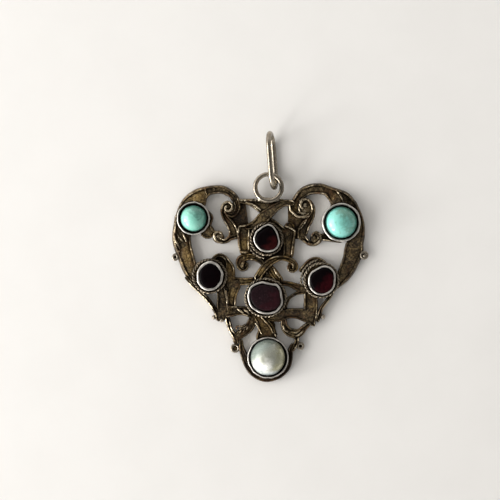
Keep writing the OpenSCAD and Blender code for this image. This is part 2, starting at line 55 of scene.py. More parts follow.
# Straps of the lower level: x, y and width along the middle line.
STRAPS = {
    "left_side": [
        (-18.2, 7.8, 2), (-17.8, 5.2, 3.6), (-17.7, 3.2, 3.7), (-17.3, 1.4, 3.5), (-16.7, -0.4, 3.3),
        (-16.1, -2.2, 3.1), (-15.2, -4, 2.5), (-13.8, -5.8, 1.4)],
    "left_scroll": [
        (-18.3, 8.6, 1.2), (-17.3, 10.5, 1.6), (-15.9, 11.6, 2.4), (-14.2, 12.5, 2.6), (-12.7, 13.2, 2),
        (-11.2, 13.5, 1.8), (-9.6, 13.5, 1.7), (-8.2, 12.9, 1.6), (-7.2, 12, 1.6), (-6.6, 10.8, 1.5),
        (-6.5, 9.7, 1.4), (-7, 8.7, 1.2), (-7.8, 8.4, 1), (-8.6, 8.8, 0.8)],
    "left_shoulder": [(-11.6, 13.4, 1.2), (-12.6, 12.9, 1.5), (-13.3, 12, 1.5), (-13.6, 10.8, 1.6)],
    "left_stem": [
        (-9.3, 9.8, 1), (-9.3, 8.8, 1.2), (-8.8, 7.7, 1.4), (-8, 6.6, 1.8), (-7.4, 5.5, 1.9),
        (-7.1, 4.6, 1.7)],
    "left_bar": [(-5.2, 5.3, 2.6), (-5.2, 3.8, 2.6), (-5, 1.2, 2.2)],
    "left_small_scroll": [
        (-6.7, 4.2, 1.2), (-7.9, 3.8, 1.1), (-8.8, 3.2, 1), (-9.7, 3.2, 1.2), (-10.5, 3.6, 1.3)],
    "left_lobe": [
        (-12.8, 9, 1.2), (-12.3, 7.9, 1.9), (-12.4, 6.5, 1.4), (-12.6, 5, 2.8), (-11.4, 4.8, 1.4)],
    "top_bar": [
        (-5.8, 11.2, 1), (-4, 11, 1.4), (-2.6, 10.5, 2), (-1.2, 10, 2.6), (0.8, 10.8, 1.9),
        (2.4, 11.2, 1)],
    "right_scroll": [
        (16.4, 10.6, 2), (15, 11.8, 2.6), (13.4, 12.5, 2.5), (11.8, 13.2, 2.1), (10, 13.7, 2.2),
        (8.2, 13.6, 2.1), (6.7, 12.9, 2.1), (5.6, 11.7, 1.9), (5, 10.2, 2), (5.4, 8.9, 1.8),
        (6.5, 8.2, 1.2), (7.6, 8.4, 0.9), (8.3, 9.1, 0.8), (8.5, 10.1, 0.7)],
    "right_shoulder": [(11.2, 13.2, 1.4), (12.1, 12.3, 1.6), (12.8, 11.3, 1.6), (13, 10.3, 1.7)],
    "right_side": [
        (16.4, 10.4, 2.4), (17.6, 8.6, 1.6), (18.2, 6.6, 1.6), (17.9, 4.4, 2.4), (17.1, 2.6, 3.6),
        (16.8, 1, 3.9), (16.3, -0.6, 3.5), (15.6, -2.2, 3.3), (14.6, -4, 2.6), (13.4, -5.6, 1.6)],
    "right_stem": [
        (8.5, 10.6, 0.6), (8.7, 9.8, 0.8), (8.5, 8.6, 1.2), (7.9, 7.4, 1.6), (7.1, 6.3, 2),
        (6.6, 5.2, 2.2), (6.4, 4.3, 2)],
    "right_small_scroll": [
        (6.5, 4.1, 1.6), (7.2, 3.3, 1.2), (8.1, 2.7, 1.1), (9.1, 2.8, 1.2), (9.8, 3.3, 1.2)],
    "right_bridge": [(9.9, 4, 1.4), (12, 3.9, 1.7), (14, 3.4, 1.2)],
    "right_bar": [(3.9, 5.9, 2.2), (3.9, 3.4, 2.4), (3.7, 0.6, 2.2)],
    "top_garnet_edge": [(0.2, 7, 1.6), (1.2, 6.2, 1.8), (2.2, 5.4, 1.8), (3.2, 4.8, 1.6)],
    "middle_left_scroll": [
        (-1.2, -1.4, 1), (-2.4, -0.5, 1.2), (-3.6, 0, 1.4), (-4.8, 0, 1.6), (-5.9, -0.6, 1.7),
        (-6.2, -1.6, 1.3), (-5.7, -2.4, 1), (-4.9, -2.3, 0.9), (-4.6, -1.6, 0.8)],
    "crossing_strap": [(-0.4, -1.8, 1.6), (0.7, -3.1, 1.8), (1.8, -4.6, 1.8)],
    "left_leaf_arch": [
        (-11.3, -0.3, 0.7), (-10.8, 0.2, 0.7), (-10, 0.4, 0.8), (-9.1, 0, 0.8), (-8.4, -0.9, 1),
        (-8, -2.2, 1.8), (-8.1, -3.8, 2.3), (-8.2, -5.4, 2.4)],
    "upper_cross_bar": [(-8.2, -4.8, 1.8), (-6.4, -4.9, 1.7), (-4.8, -4.9, 1.6), (-3, -4.8, 1.6)],
    "inner_left_upright": [(-7, -5.8, 2.4), (-7.5, -7.2, 2.1), (-7.7, -8.6, 1.9), (-7.7, -9.8, 1.9)],
    "outer_left_upright": [(-9.8, -6.4, 1.8), (-9.6, -8, 2.1), (-9.5, -9.8, 2.4), (-9.3, -11.4, 2.4)],
    "lower_cross_bar": [
        (-9.8, -11.1, 2.4), (-8, -11, 2.1), (-6.4, -10.8, 1.9), (-4.8, -10.9, 1.8), (-3.6, -11.6, 1.6)],
    "lower_left_leaf": [
        (-3.4, -12.2, 1.6), (-4, -13.8, 1.9), (-5.1, -14.9, 2), (-6.3, -15.8, 1.8), (-6.8, -16.8, 1.3)],
    "lower_left_rim": [
        (-8.5, -12.6, 1.2), (-8.2, -13.7, 1.1), (-7.8, -14.8, 1), (-7.1, -15.9, 1.2), (-6.7, -17, 1)],
    "cup_band": [
        (-5.8, -17, 0.9), (-5.7, -18.2, 1.1), (-5.1, -20, 1.5), (-4.5, -21.6, 1.5), (-3.6, -23, 1.5),
        (-2.2, -24, 1.5), (-0.6, -24.4, 1.4), (1, -24.1, 1.4), (2.4, -23.2, 1.6), (3.4, -21.9, 1.6),
        (3.9, -20.2, 1.4), (4.1, -18.8, 1.2), (4.5, -17.8, 1)],
    "pearl_strap": [(-2.6, -11.4, 2), (-1.6, -12.9, 2.4), (-0.8, -14.5, 3.4), (-0.7, -16, 4.2)],
    "right_foot_bar": [
        (0.4, -11.8, 2.4), (2, -11.8, 2.4), (3.6, -11.35, 2.1), (5.4, -11.35, 2.2), (7, -11.7, 2.6),
        (8.2, -12.2, 2.4)],
    "right_upright": [
        (8.1, -6.8, 2.6), (8.2, -8.6, 2.8), (8.2, -10.6, 2.8), (8.3, -12.6, 2.2), (8.6, -13.3, 1.2)],
    "right_branch": [
        (1.8, -5.2, 1.2), (3.2, -5.3, 1.1), (4.4, -5.6, 1.2), (5.6, -6.1, 1.5), (6.9, -6.4, 1.8)],
    "right_twig": [(6.8, -6.9, 1.2), (5.4, -7.3, 0.8), (4.3, -7.9, 0.7), (3.5, -8.7, 0.8), (3, -9.8, 1)],
    "lower_right_leaf": [
        (2.8, -12.9, 1.3), (2.9, -13.8, 1.5), (3.5, -14.8, 1.8), (4.5, -15.3, 1.9), (5.4, -15.4, 1.9),
        (6.2, -15, 1.6), (6.9, -14.2, 1.3), (7.6, -13.6, 1.1)],
    "lower_right_link": [(5.1, -15.6, 1.6), (5.4, -16.6, 1), (5.2, -17.4, 1), (4.6, -18.4, 1.1)],
    "left_strut": [
        (-16.8, -4.2, 0.6), (-15.5, -5.7, 0.7), (-14, -7.1, 0.8), (-12.7, -8.3, 0.9), (-11.6, -9.7, 0.9),
        (-10.8, -11.1, 1), (-10.4, -12.4, 1)],
    "right_strut": [
        (12.3, -7.6, 0.8), (11.2, -9.1, 0.8), (10.4, -10.2, 0.8), (10, -11.2, 0.9), (9.6, -12.6, 0.9)],
    "right_arch": [
        (6.3, -2.6, 1), (6.9, -1.9, 0.9), (7.8, -0.9, 0.9), (9, -0.4, 0.9), (10.1, -0.6, 0.8),
        (11, -1.2, 0.8)],
}

# Straps that cross over the others: x, y, width and how far they stand up.
OVER_STRAPS = {
    "diagonal_strap": [
        (4.2, 10.8, 1.4, 0.1), (2.8, 10.8, 1.5, 0.25), (1.4, 10.1, 1.7, 0.3), (0.1, 9.1, 2.1, 0.3),
        (-1.2, 8, 2.5, 0.3), (-2.8, 6.7, 1.8, 0.3), (-4.4, 6, 1.2, 0.2)],
    "middle_arc": [
        (-2.4, -4, 1.6, 0.25), (-1.4, -2.5, 1.6, 0.3), (-0.3, -1.3, 1.6, 0.3), (1, -0.5, 1.4, 0.3),
        (2.4, -0.2, 1.1, 0.25), (3.8, -0.5, 1.2, 0.2), (4.8, -1.3, 1.4, 0.15), (5.1, -2.2, 1.2, 0.15),
        (4.6, -2.8, 0.8, 0.15), (3.9, -2.6, 0.7, 0.15), (3.7, -1.9, 0.6, 0.15)],
}

# Raised wires in and beside the channels: x, y, thickness and height of the middle.
WIRES = {
    "left_volute": [
        (-9.75, 9, 0.4, 1.45), (-9.65, 9.9, 0.45, 1.5), (-9.3, 10.6, 0.48, 1.55), (-8.7, 11, 0.5, 1.55),
        (-8, 10.9, 0.5, 1.58), (-7.55, 10.3, 0.5, 1.6), (-7.65, 9.6, 0.5, 1.58), (-8.2, 9.2, 0.48, 1.55),
        (-8.85, 9.4, 0.45, 1.55), (-8.95, 9.95, 0.48, 1.58), (-8.6, 10.1, 0.55, 1.58)],
    "left_volute_dash": [(-8.9, 8.65, 0.24, 1.62), (-8.4, 8.25, 0.26, 1.62)],
    "right_volute": [
        (8.5, 9.4, 0.36, 1.5), (8.35, 10.3, 0.4, 1.5), (7.9, 11.2, 0.42, 1.55), (7.2, 11.6, 0.45, 1.55),
        (6.5, 11.3, 0.52, 1.58), (6.12, 10.6, 0.58, 1.6), (6.2, 10, 0.5, 1.58), (6.6, 9.65, 0.4, 1.5)],
    "right_roll_rim": [
        (3.95, 10.4, 0.3, 1.5), (4.1, 9.4, 0.4, 1.55), (4.7, 8.75, 0.42, 1.58), (5.4, 8.15, 0.42, 1.6),
        (6.2, 8, 0.4, 1.58), (7.1, 8.2, 0.36, 1.5), (7.8, 8.7, 0.32, 1.5)],
    "right_roll_groove": [(5.6, 8.95, 0.3, 1.4), (6.4, 8.75, 0.32, 1.4), (7.2, 8.8, 0.28, 1.4)],
    "left_curl": [
        (-9.3, 2.8, 0.36, 1.42), (-10.2, 2.95, 0.4, 1.45), (-10.85, 3.5, 0.5, 1.45),
        (-11.15, 4.3, 0.55, 1.48), (-10.85, 4.9, 0.5, 1.48), (-10.2, 5.05, 0.5, 1.45),
        (-9.6, 4.7, 0.45, 1.45)],
    "left_stem_turn": [
        (-8.1, 5.2, 0.32, 1.5), (-8.1, 4.4, 0.36, 1.55), (-8.6, 3.75, 0.38, 1.55),
        (-9.3, 3.4, 0.28, 1.45)],
    "right_curl": [
        (7.6, 2.8, 0.34, 1.45), (8.6, 2.5, 0.4, 1.45), (9.6, 2.85, 0.42, 1.45), (10.15, 3.7, 0.46, 1.48),
        (9.95, 4.5, 0.46, 1.5), (9.3, 4.95, 0.46, 1.5), (8.65, 4.7, 0.42, 1.48), (8.35, 4.1, 0.4, 1.45)],
    "right_curl_band": [(9.05, 4.55, 0.3, 1.5), (9.6, 4.3, 0.34, 1.55), (9.65, 3.6, 0.3, 1.5)],
    "right_stem_ridge": [
        (5.7, 5.5, 0.26, 1.42), (6.3, 5.9, 0.3, 1.42), (6.9, 6.7, 0.3, 1.45), (7.3, 7.4, 0.26, 1.45)],
    "middle_right_eye": [(4.3, -1.3, 0.3, 1.7), (4.75, -1.75, 0.36, 1.75), (4.55, -2.2, 0.36, 1.75)],
    "middle_left_eye": [(-5.1, -0.95, 0.4, 1.5), (-5.45, -1.35, 0.52, 1.56), (-5.4, -1.9, 0.42, 1.5)],
    "left_bar_rim": [
        (-3.4, 6.9, 0.3, 1.7), (-4.8, 6.3, 0.34, 1.6), (-5.9, 6.15, 0.34, 1.55), (-6.3, 5.6, 0.34, 1.5),
        (-6.35, 4.6, 0.36, 1.5), (-6.3, 3.2, 0.38, 1.5), (-6.2, 2.2, 0.34, 1.5), (-6, 1.5, 0.3, 1.5)],
    "left_bar_inner_rim": [(-4.2, 5.6, 0.3, 1.5), (-4.25, 3.8, 0.42, 1.5), (-4.25, 1.4, 0.42, 1.5)],
    "left_bar_step": [(-5.9, 1, 0.4, 1.42), (-5.2, 1, 0.55, 1.48), (-4.4, 1, 0.4, 1.42)],
    "right_bar_rim": [
        (3, 6.2, 0.3, 1.5), (4.2, 5.7, 0.34, 1.52), (5, 5.2, 0.36, 1.52), (4.9, 4.4, 0.34, 1.5),
        (4.65, 3, 0.34, 1.5), (4.45, 1.4, 0.34, 1.5), (4.3, 0.4, 0.3, 1.5)],
    "upper_bar_band": [(-5.9, 11.35, 0.4, 1.45), (-4.4, 11.4, 0.5, 1.48), (-2.8, 11.4, 0.55, 1.48)],
    "upper_bar_rim": [
        (-4.8, 10.95, 0.3, 1.4), (-3.4, 10.5, 0.34, 1.45), (-2.3, 9.8, 0.32, 1.5),
        (-1.9, 9.4, 0.28, 1.45)],
    "left_upright_rim": [
        (-9.1, -6.6, 0.36, 1.5), (-8.65, -7, 0.34, 1.5), (-8.55, -8.4, 0.3, 1.46),
        (-8.5, -9.8, 0.42, 1.52), (-7.6, -9.95, 0.3, 1.48), (-6.6, -9.95, 0.26, 1.45)],
    "right_upright_rim": [(7, -7.4, 0.3, 1.45), (7, -9, 0.34, 1.45), (7, -10.4, 0.3, 1.48)],
    "cross_bar_fold": [(-6.6, -10.3, 0.3, 1.4), (-5.9, -10.8, 0.45, 1.5), (-5.3, -11.3, 0.3, 1.4)],
    "cross_bar_second_fold": [(-5.4, -10.4, 0.3, 1.38), (-4.6, -10.9, 0.42, 1.46), (-4.1, -11.5, 0.3, 1.4)],
    "pearl_strap_rim": [
        (-1.8, -11.9, 0.28, 1.55), (-1, -12.8, 0.34, 1.6), (-0.1, -13.8, 0.3, 1.58),
        (0.6, -15.2, 0.26, 1.5)],
    "pearl_strap_left_rim": [
        (-3, -13.2, 0.24, 1.45), (-2.4, -13.9, 0.3, 1.5), (-2, -14.8, 0.3, 1.5),
        (-1.6, -15.5, 0.26, 1.48)],
    "crossing_ridge": [(0.8, -2.4, 0.3, 1.5), (1.4, -3.4, 0.36, 1.5), (2, -4.2, 0.3, 1.5)],
    "crossing_drop": [(-0.7, -3, 0.4, 1.3), (-0.5, -3.4, 0.55, 1.4)],
    "left_shoulder_ridge": [(-13, 14, 0.26, 1.26), (-12.9, 13.2, 0.3, 1.2), (-12.6, 12.5, 0.26, 1.22)],
    "right_shoulder_ridge": [(13.2, 13.4, 0.3, 1.5), (14.2, 12.2, 0.4, 1.35), (14.7, 11, 0.3, 1.4)],
    "left_fold_front": [
        (-19.2, 4.6, 0.36, 1.42), (-19, 3.6, 0.42, 1.38), (-18.6, 2.8, 0.45, 1.38),
        (-18.15, 2.1, 0.4, 1.36), (-18, 1.6, 0.3, 1.32)],
    "left_fold_middle": [(-18.6, 4.7, 0.3, 1.26), (-18, 3.7, 0.36, 1.26), (-17.3, 3, 0.3, 1.22)],
    "left_fold_back": [(-17.6, 5.1, 0.36, 1.3), (-17.1, 4, 0.42, 1.32), (-16.7, 3.1, 0.4, 1.38)],
    "left_fold_knob": [(-18.5, 1.1, 0.42, 1.3), (-18.1, 1.1, 0.42, 1.3)],
    "lower_left_curl": [
        (-6.6, -14.4, 0.36, 1.4), (-6.7, -14, 0.38, 1.4), (-6.3, -13.8, 0.4, 1.45),
        (-5.6, -13.9, 0.4, 1.45), (-5, -13.5, 0.4, 1.5)],
    "lower_left_vein": [(-6.2, -14.4, 0.42, 1.4), (-5.4, -14.3, 0.42, 1.42), (-4.6, -13.8, 0.3, 1.45)],
    "lower_left_hatch": [(-6.1, -15.2, 0.26, 1.62), (-5.7, -14.6, 0.3, 1.66)],
    "lower_left_second_hatch": [(-5.3, -15, 0.26, 1.64), (-5, -14.3, 0.3, 1.66)],
    "lower_left_third_hatch": [(-4.7, -14.6, 0.26, 1.64), (-4.3, -13.8, 0.3, 1.64)],
    "right_leaf_eye": [(2.6, -13.7, 0.34, 1.5), (2.9, -14.5, 0.45, 1.5), (3.6, -15, 0.34, 1.45)],
    "right_leaf_vein": [(4.2, -15, 0.34, 1.46), (5.2, -15.1, 0.4, 1.5), (6.1, -14.7, 0.34, 1.48)],
    "right_leaf_tip": [(5, -15.9, 0.34, 1.42), (5.9, -15.5, 0.4, 1.46), (6.7, -14.7, 0.34, 1.48)],
    "right_neck": [(9.8, -11.2, 0.5, 0.9), (10.3, -11.7, 0.5, 0.8), (10.7, -12.1, 0.6, 0.7)],
    "left_neck": [(-10.6, -11.6, 0.5, 0.9), (-11.2, -12.1, 0.5, 0.7)],
}

# Round plates of the metalwork: x, y, radius, height of the top, and whether rims stop at them.
PLATES = [
    (-8.35, 9.75, 1.4, 1.2, False), (7.2, 10.2, 1.6, 1.22, False), (-10.3, 3.9, 1.15, 1.28, False),
    (9.3, 3.7, 1.2, 1.28, False), (-5.3, -1.6, 0.9, 0.95, False), (4.4, -1.8, 0.9, 0.95, False),
    (-12.5, 5.1, 1.4, 1.1, False), (-14.1, 11.4, 1.4, 1.13, True), (-0.45, -3.9, 0.8, 1.05, False),
    (13.9, 11.3, 1.7, 1.13, True), (7.1, 10.35, 0.55, 1.5, False), (-10.45, 4.1, 0.34, 1.6, False),
    (8.85, 3.95, 0.42, 1.5, False), (-0.6, 3.6, 3.5, 1.2, True), (-12.1, -3.8, 3.5, 1.2, True),
    (10.3, -4.6, 3.6, 1.2, True), (-15.3, 7.7, 3.3, 1.1, True), (14.2, 6.9, 3.8, 1.1, True),
    (-0.4, -20.1, 4.1, 1.0, True),
]

# Sunk webs between the straps: height and corners.
WEBS = [
    (0.55, [
        (-6.3, 11.2), (-4.9, 10.8), (-4.6, 8.6), (-4.3, 6.4), (-6.6, 5.4), (-8.2, 7.2), (-8.3, 8.3),
        (-6.8, 9.4)]),
    (0.6, [
        (3.6, 10.2), (4.6, 9.4), (6, 8.2), (7.3, 7.8), (7.2, 6.6), (6.4, 4.6), (5.6, 3.6), (4.8, 3.6),
        (3.6, 5.8)]),
    (0.62, [
        (-3.2, 5.8), (-4.4, 5.8), (-4.4, 0.4), (-2.6, -0.4), (-1.4, -0.9), (-0.3, -0.9), (1, -0.2),
        (2.4, 0), (3.4, 0.4), (3.4, 2.6), (1.6, 2.4), (0, 0.8), (-2.4, 1.6), (-3.2, 3.6)]),
    (0.68, [(-2, -4.6), (-0.9, -2.2), (0.2, -2.8), (1.4, -4.9), (-0.4, -5.2)]),
    (0.6, [(2.2, -9.8), (3.4, -9.9), (3.6, -11), (1.6, -11)]),
    (0.65, [(-1.6, -11.2), (0, -11.2), (0, -12.6), (-0.8, -12.8)]),
    (0.8, [(-0.8, -12.6), (0.6, -12.6), (1.1, -13.6), (1.1, -14.4), (1.5, -15.6), (0.6, -15.8), (-0.2, -14)]),
    (0.55, [(-11.2, -0.3), (-10, 0.2), (-8.9, -0.4), (-8.5, -1.4), (-8.6, -3), (-9.4, -2.6), (-10.4, -1.2)]),
    (0.65, [
        (6.5, -2.6), (7, -1.9), (7.9, -1), (9, -0.5), (10.6, -0.9), (10.3, -2), (8, -3), (7, -4.4),
        (6.7, -3.8)]),
]

# Garnets: the middle and, from there, the corners.
GARNETS = {
    "garnet_top": ((-0.7, 3.6), [
        (0.5, 2.2), (-0.9, 1.5), (-1.8, 0.6), (-2, -0.4), (-1.6, -1.3), (-0.5, -1.9), (0.9, -2), (1.8, -1.4),
        (2, -0.4), (1.6, 0.9)]),
    "garnet_left": ((-12.1, -3.8), [
        (0.1, 2.3), (-0.9, 1.9), (-1.6, 1), (-1.7, -0.6), (-1.2, -1.7), (-0.1, -2.4), (1, -2), (1.8, -1.1),
        (2, 0.2), (1.6, 1.4), (0.9, 2.1)]),
    "garnet_right": ((10.3, -4.6), [
        (0.5, 2.2), (1.7, 1.6), (2.1, 0.4), (1.9, -1.1), (1.1, -2.2), (-0.3, -2.3), (-1.5, -1.6),
        (-2.1, -0.2), (-1.6, 1.1), (-0.5, 2)]),
    "garnet_centre": ((-0.9, -8.1), [
        (-1.5, 2.2), (0.1, 2.4), (1.7, 2), (2.5, 1.1), (2.8, -0.3), (2.5, -1.4), (1.5, -2.2), (-0.1, -2.4),
        (-1.6, -2), (-2.5, -0.9), (-2.9, 0.4), (-2.5, 1.5)]),
}
STONE_FILL = 1.09  # the garnets reach this much further than their corners, up to the lips of their cups
GARNET_TOP, GARNET_CROWN = 3.0, 0.3  # height of the flat tops, and of the slopes below them

# Thickness and height of the walls of the garnets' cups.
GARNET_WALLS = {"garnet_top": (0.4, 2.8), "garnet_left": (0.58, 2.8), "garnet_right": (0.42, 2.8),
                "garnet_centre": (0.46, 2.95)}

# Outer outlines of the garnets' cups.
GARNET_CUPS = {
    "garnet_top": [
        (-0.3, 6.6), (-2, 5.8), (-3.1, 4.6), (-3.3, 3.2), (-2.5, 1.8), (-1.1, 1), (0.4, 1.1), (1.7, 2),
        (1.9, 3.4), (1.1, 5.6)],
    "garnet_left": [
        (-12.2, -0.8), (-13.4, -1.4), (-14.3, -2.4), (-14.6, -3.8), (-14.4, -5.2), (-13.6, -6.2),
        (-12.4, -6.7), (-11.1, -6.5), (-10, -5.7), (-9.4, -4.4), (-9.4, -3), (-10.2, -1.6), (-11.1, -1)],
    "garnet_right": [
        (11, -1.7), (12.3, -2.2), (13, -3.4), (13, -4.8), (12.8, -6), (11.7, -7.2), (10.4, -7.6),
        (9, -7.3), (8, -6.3), (7.6, -4.8), (7.9, -3.4), (8.8, -2.6), (9.8, -2)],
    "garnet_centre": [
        (-1.6, -4.9), (0.2, -5.2), (1.5, -5.5), (2.2, -6.5), (2.5, -8), (2.5, -9.3), (1.9, -10.4),
        (0.8, -11.2), (-0.8, -11.4), (-2.4, -11), (-3.8, -10), (-4.4, -8.5), (-4.4, -7), (-3.8, -5.8),
        (-2.8, -5.2)],
}

# Cabochons: the middle, the radius, the gap to the wall and the wall's thickness.
CABOCHONS = {
    "turquoise_left": ((-15.3, 7.7), 2.6, 0.4, 0.3),
    "turquoise_right": ((14.2, 6.9), 3.15, 0.28, 0.42),
}
CABOCHON_EDGE, CABOCHON_RISE = 2.2, 2.1  # where a dome starts, and how far it rises from there
CABOCHON_CUP_TOP = 2.9  # height of its cup
CUP_BASE = 0.3  # height of the underside of every cup
CENTRE_PLATE = (4.3, 4.0)  # half width and half length of the plate under the centre garnet

# Twisted wires round the garnets: the middle and the radii across and along.
COLLARS = {
    "garnet_top": ((-0.7, 3.6), (3.15, 3.15)),
    "garnet_left": ((-12.1, -3.8), (3.3, 3.3)),
    "garnet_right": ((10.25, -4.6), (3.4, 3.4)),
    "garnet_centre": ((-0.9, -8.1), (4.05, 3.75)),
}
COLLAR_Z, COLLAR_WIRE = 1.5, 0.3  # height of the middle and thickness of a strand
OUTER_COLLAR_Z, OUTER_COLLAR_WIRE = 1.35, 0.26  # the same for a second wire outside the first
TWISTS = 0.72  # twists to the millimetre
ROWS_TO_A_TWIST = 10

# The pearl: its place, the height of its middle and its radii, and its cup.
PEARL_AT, PEARL_MIDDLE = (-0.4, -20.1), 1.4
PEARL_RADII = (3.52, 3.66, 3.4)
PEARL_CUP_R, PEARL_CUP_WALL, PEARL_CUP_TOP = 3.8, 0.3, 2.4  # inner radius, thickness and height

# The jump ring: its place, the radius of its middle line, its wire and the height of its middle.
RING_AT = (-0.3, 13.9)
RING_R, RING_WIRE, RING_Z = 2.65, 0.92, 1.67

# The bail: its place, its sizes over all, its wire, and how far it leans over and is turned.
BAIL_AT = (0.4, 19.2)
BAIL_LENGTH, BAIL_WIDTH, BAIL_WIRE = 11.8, 6.3, 1.04
BAIL_LEAN, BAIL_TURN = math.radians(10.5), math.radians(4.5)


# Lines and surfaces
def blend(a, b, c, d, t):
    """A smooth value between b and c at the fraction t, with a and d as the neighbours."""
    return (b + t * (c - a) / 2 + t * t * (a - 2.5 * b + 2 * c - d / 2)
            + t * t * t * (1.5 * (b - c) + (d - a) / 2))


def smooth_line(rows, spacing=SPACING):
    """The rows of a table as a smooth open line with closely spaced rows."""
    rows = np.array([tuple(r) + (0.0,) * (4 - len(r)) for r in rows], float)
    last = len(rows) - 1
    line = []
    for i in range(last):
        count = max(2, math.ceil(math.dist(rows[i][:2], rows[i + 1][:2]) / spacing))
        for k in range(count):
            line.append(blend(rows[max(i - 1, 0)], rows[i], rows[i + 1], rows[min(i + 2, last)], k / count))
    return np.array(line + [rows[-1]])


def smooth_ring(points, middle=(0, 0), per=4):
    """A smooth closed outline through the corners."""
    p, n = np.array(points, float), len(points)
    return [tuple(blend(p[i - 1], p[i], p[(i + 1) % n], p[(i + 2) % n], k / per) + middle)
            for i in range(n) for k in range(per)]


def circle(middle, r, count=48):
    turn = [2 * math.pi * k / count for k in range(count)]
    return [(middle[0] + r * math.cos(a), middle[1] + r * math.sin(a)) for a in turn]


def uneven(x, y, size, amount, seed=0.0):
    """Hand-made unevenness: a smooth random height with the given grain size."""
    return amount * noise.noise(Vector((x / size, y / size, seed)))


def directions(line):
    step = np.gradient(line[:, :2], axis=0)
    return step / np.linalg.norm(step, axis=1)[:, None]


# Handling of objects
def only(obj):
    bpy.ops.object.select_all(action="DESELECT")
    obj.select_set(True)
    bpy.context.view_layer.objects.active = obj
    return obj


def named(name):
    obj = bpy.context.object
    obj.name = obj.data.name = name
    return only(obj)


def edit(obj, work):
    """Runs the given work in edit mode with everything selected."""
    only(obj)
    bpy.ops.object.mode_set(mode="EDIT")
    bpy.ops.mesh.select_all(action="SELECT")
    work()
    bpy.ops.object.mode_set(mode="OBJECT")
    return obj


def closed_outwards():
    bpy.ops.mesh.remove_doubles(threshold=0.0005)
    bpy.ops.mesh.normals_make_consistent(inside=False)


def finish_modifier(obj, kind, **settings):
    only(obj)
    modifier = obj.modifiers.new("step", kind)
    for key, value in settings.items():
        setattr(modifier, key, value)
    bpy.ops.object.modifier_apply(modifier=modifier.name)
    return obj


def combine(obj, other, operation="UNION"):
    finish_modifier(obj, "BOOLEAN", operation=operation, solver="MANIFOLD", object=other)
    bpy.data.objects.remove(other)
    return obj


def united(parts):
    """Joins closed pieces into one skin, two by two."""
    while len(parts) > 1:
        pairs = [parts[i:i + 2] for i in range(0, len(parts), 2)]
        parts = [combine(*pair) if len(pair) == 2 else pair[0] for pair in pairs]
    return parts[0]


def main_skin(obj):
    """Keeps the largest skin of a piece and removes the scraps that cutting and joining leave."""
    only(obj)
    bpy.ops.mesh.separate(type="LOOSE")
    skins = sorted(bpy.context.selected_objects, key=lambda skin: len(skin.data.polygons))
    for scrap in skins[:-1]:
        bpy.data.objects.remove(scrap)
    return only(skins[-1])


def joined(name, parts):
    bpy.ops.object.select_all(action="DESELECT")
    for part in parts:
        part.select_set(True)
    bpy.context.view_layer.objects.active = parts[0]
    bpy.ops.object.join()
    return named(name)


# Straps
def round_ends(line):
    """Adds a round nose at each end of a strap: rows of x, y, half width and lift."""
    ways = directions(line)
    nose = [(0.995, 0.1), (0.92, 0.39), (0.75, 0.66), (0.4, 0.917)]

    def rows(at, way):
        x_y, half, lift = line[at, :2], line[at, 2], line[at, 3]
        return [[*(x_y + way * half * forward), half * share, lift] for forward, share in nose]

    start, end = rows(0, -ways[0]), rows(-1, ways[-1])[::-1]
    return np.vstack([start, line, end]), np.vstack([[ways[0]] * 4, ways, [ways[-1]] * 4])


# How far the outer walls of the straps at the edge of the heart lean in: the strap, its side and the lean.
OUTER_LEAN = {("left_side", -1): 0.45, ("left_scroll", 1): 0.45, ("right_scroll", -1): 0.35,
              ("right_side", 1): 0.4, ("left_strut", -1): 0.3, ("lower_left_rim", -1): 0.35}

# Straps with rims that are worn lower or stand up crisper than most.
RIM_SHARE = {
    "lower_left_leaf": 0.5, "lower_right_leaf": 0.7, "right_side": 0.6, "right_shoulder": 0.5,
    "left_shoulder": 0.7, "right_upright": 0.75, "right_foot_bar": 0.7, "left_side": 1.15, "cup_band": 0.7,
    "left_bar": 1.2, "lower_left_rim": 1.25,
}

# Every strap's smooth middle line with its half widths, and 1 for the straps that cross over the others.
LINES = {}
for table, level in ((STRAPS, 0), (OVER_STRAPS, 1)):
    for name, rows in table.items():
        line = smooth_line(rows)
        line[:, 2] /= 2
        LINES[name] = (line, level)


def beyond(points, line):
    """How far each point lies beyond a strap's edge, for each of the strap's cross sections."""
    return np.hypot(points[:, None, 0] - line[:, 0], points[:, None, 1] - line[:, 1]) - line[:, 2]


def rim_stands(points, own, level):
    """1 where a rim runs free, and 0 where it would cross the floor of another strap or a stone's plate."""
    keep = np.ones(len(points))
    for name, (line, other) in LINES.items():
        if name != own and other >= level:
            inside = 0.45 if other == level else 0.1
            keep = np.minimum(keep, np.clip((beyond(points, line).min(axis=1) + inside) / 0.25, 0, 1))
    for x, y, r, top, stops in PLATES:
        if stops:
            away = np.hypot(points[:, 0] - x, points[:, 1] - y) - r
            keep = np.minimum(keep, np.clip((away + 0.1) / 0.25, 0, 1))
    return keep


def strap_section(half, rim, lean, floor, high):
    """Half a cross section: from the middle of the underside out, over the rim and in to the channel."""
    inner, rise = half - lean, high - floor
    return [(0, 0), (half - 0.12, 0), (half, 0.12), (half - 0.3 * lean, 0.6),
            (half - 0.8 * lean, high - 0.5 * rim), (inner - 0.05 * rim, high - 0.18 * rim),
            (inner - 0.4 * rim, high), (inner - 0.7 * rim, high - 0.1 * rise),
            (inner - 0.88 * rim, high - 0.45 * rise), (inner - 1.02 * rim, floor - 0.03),
            (inner - 1.3 * rim, floor), ((inner - 1.3 * rim) / 2, floor + 0.03), (0, floor + 0.04)]


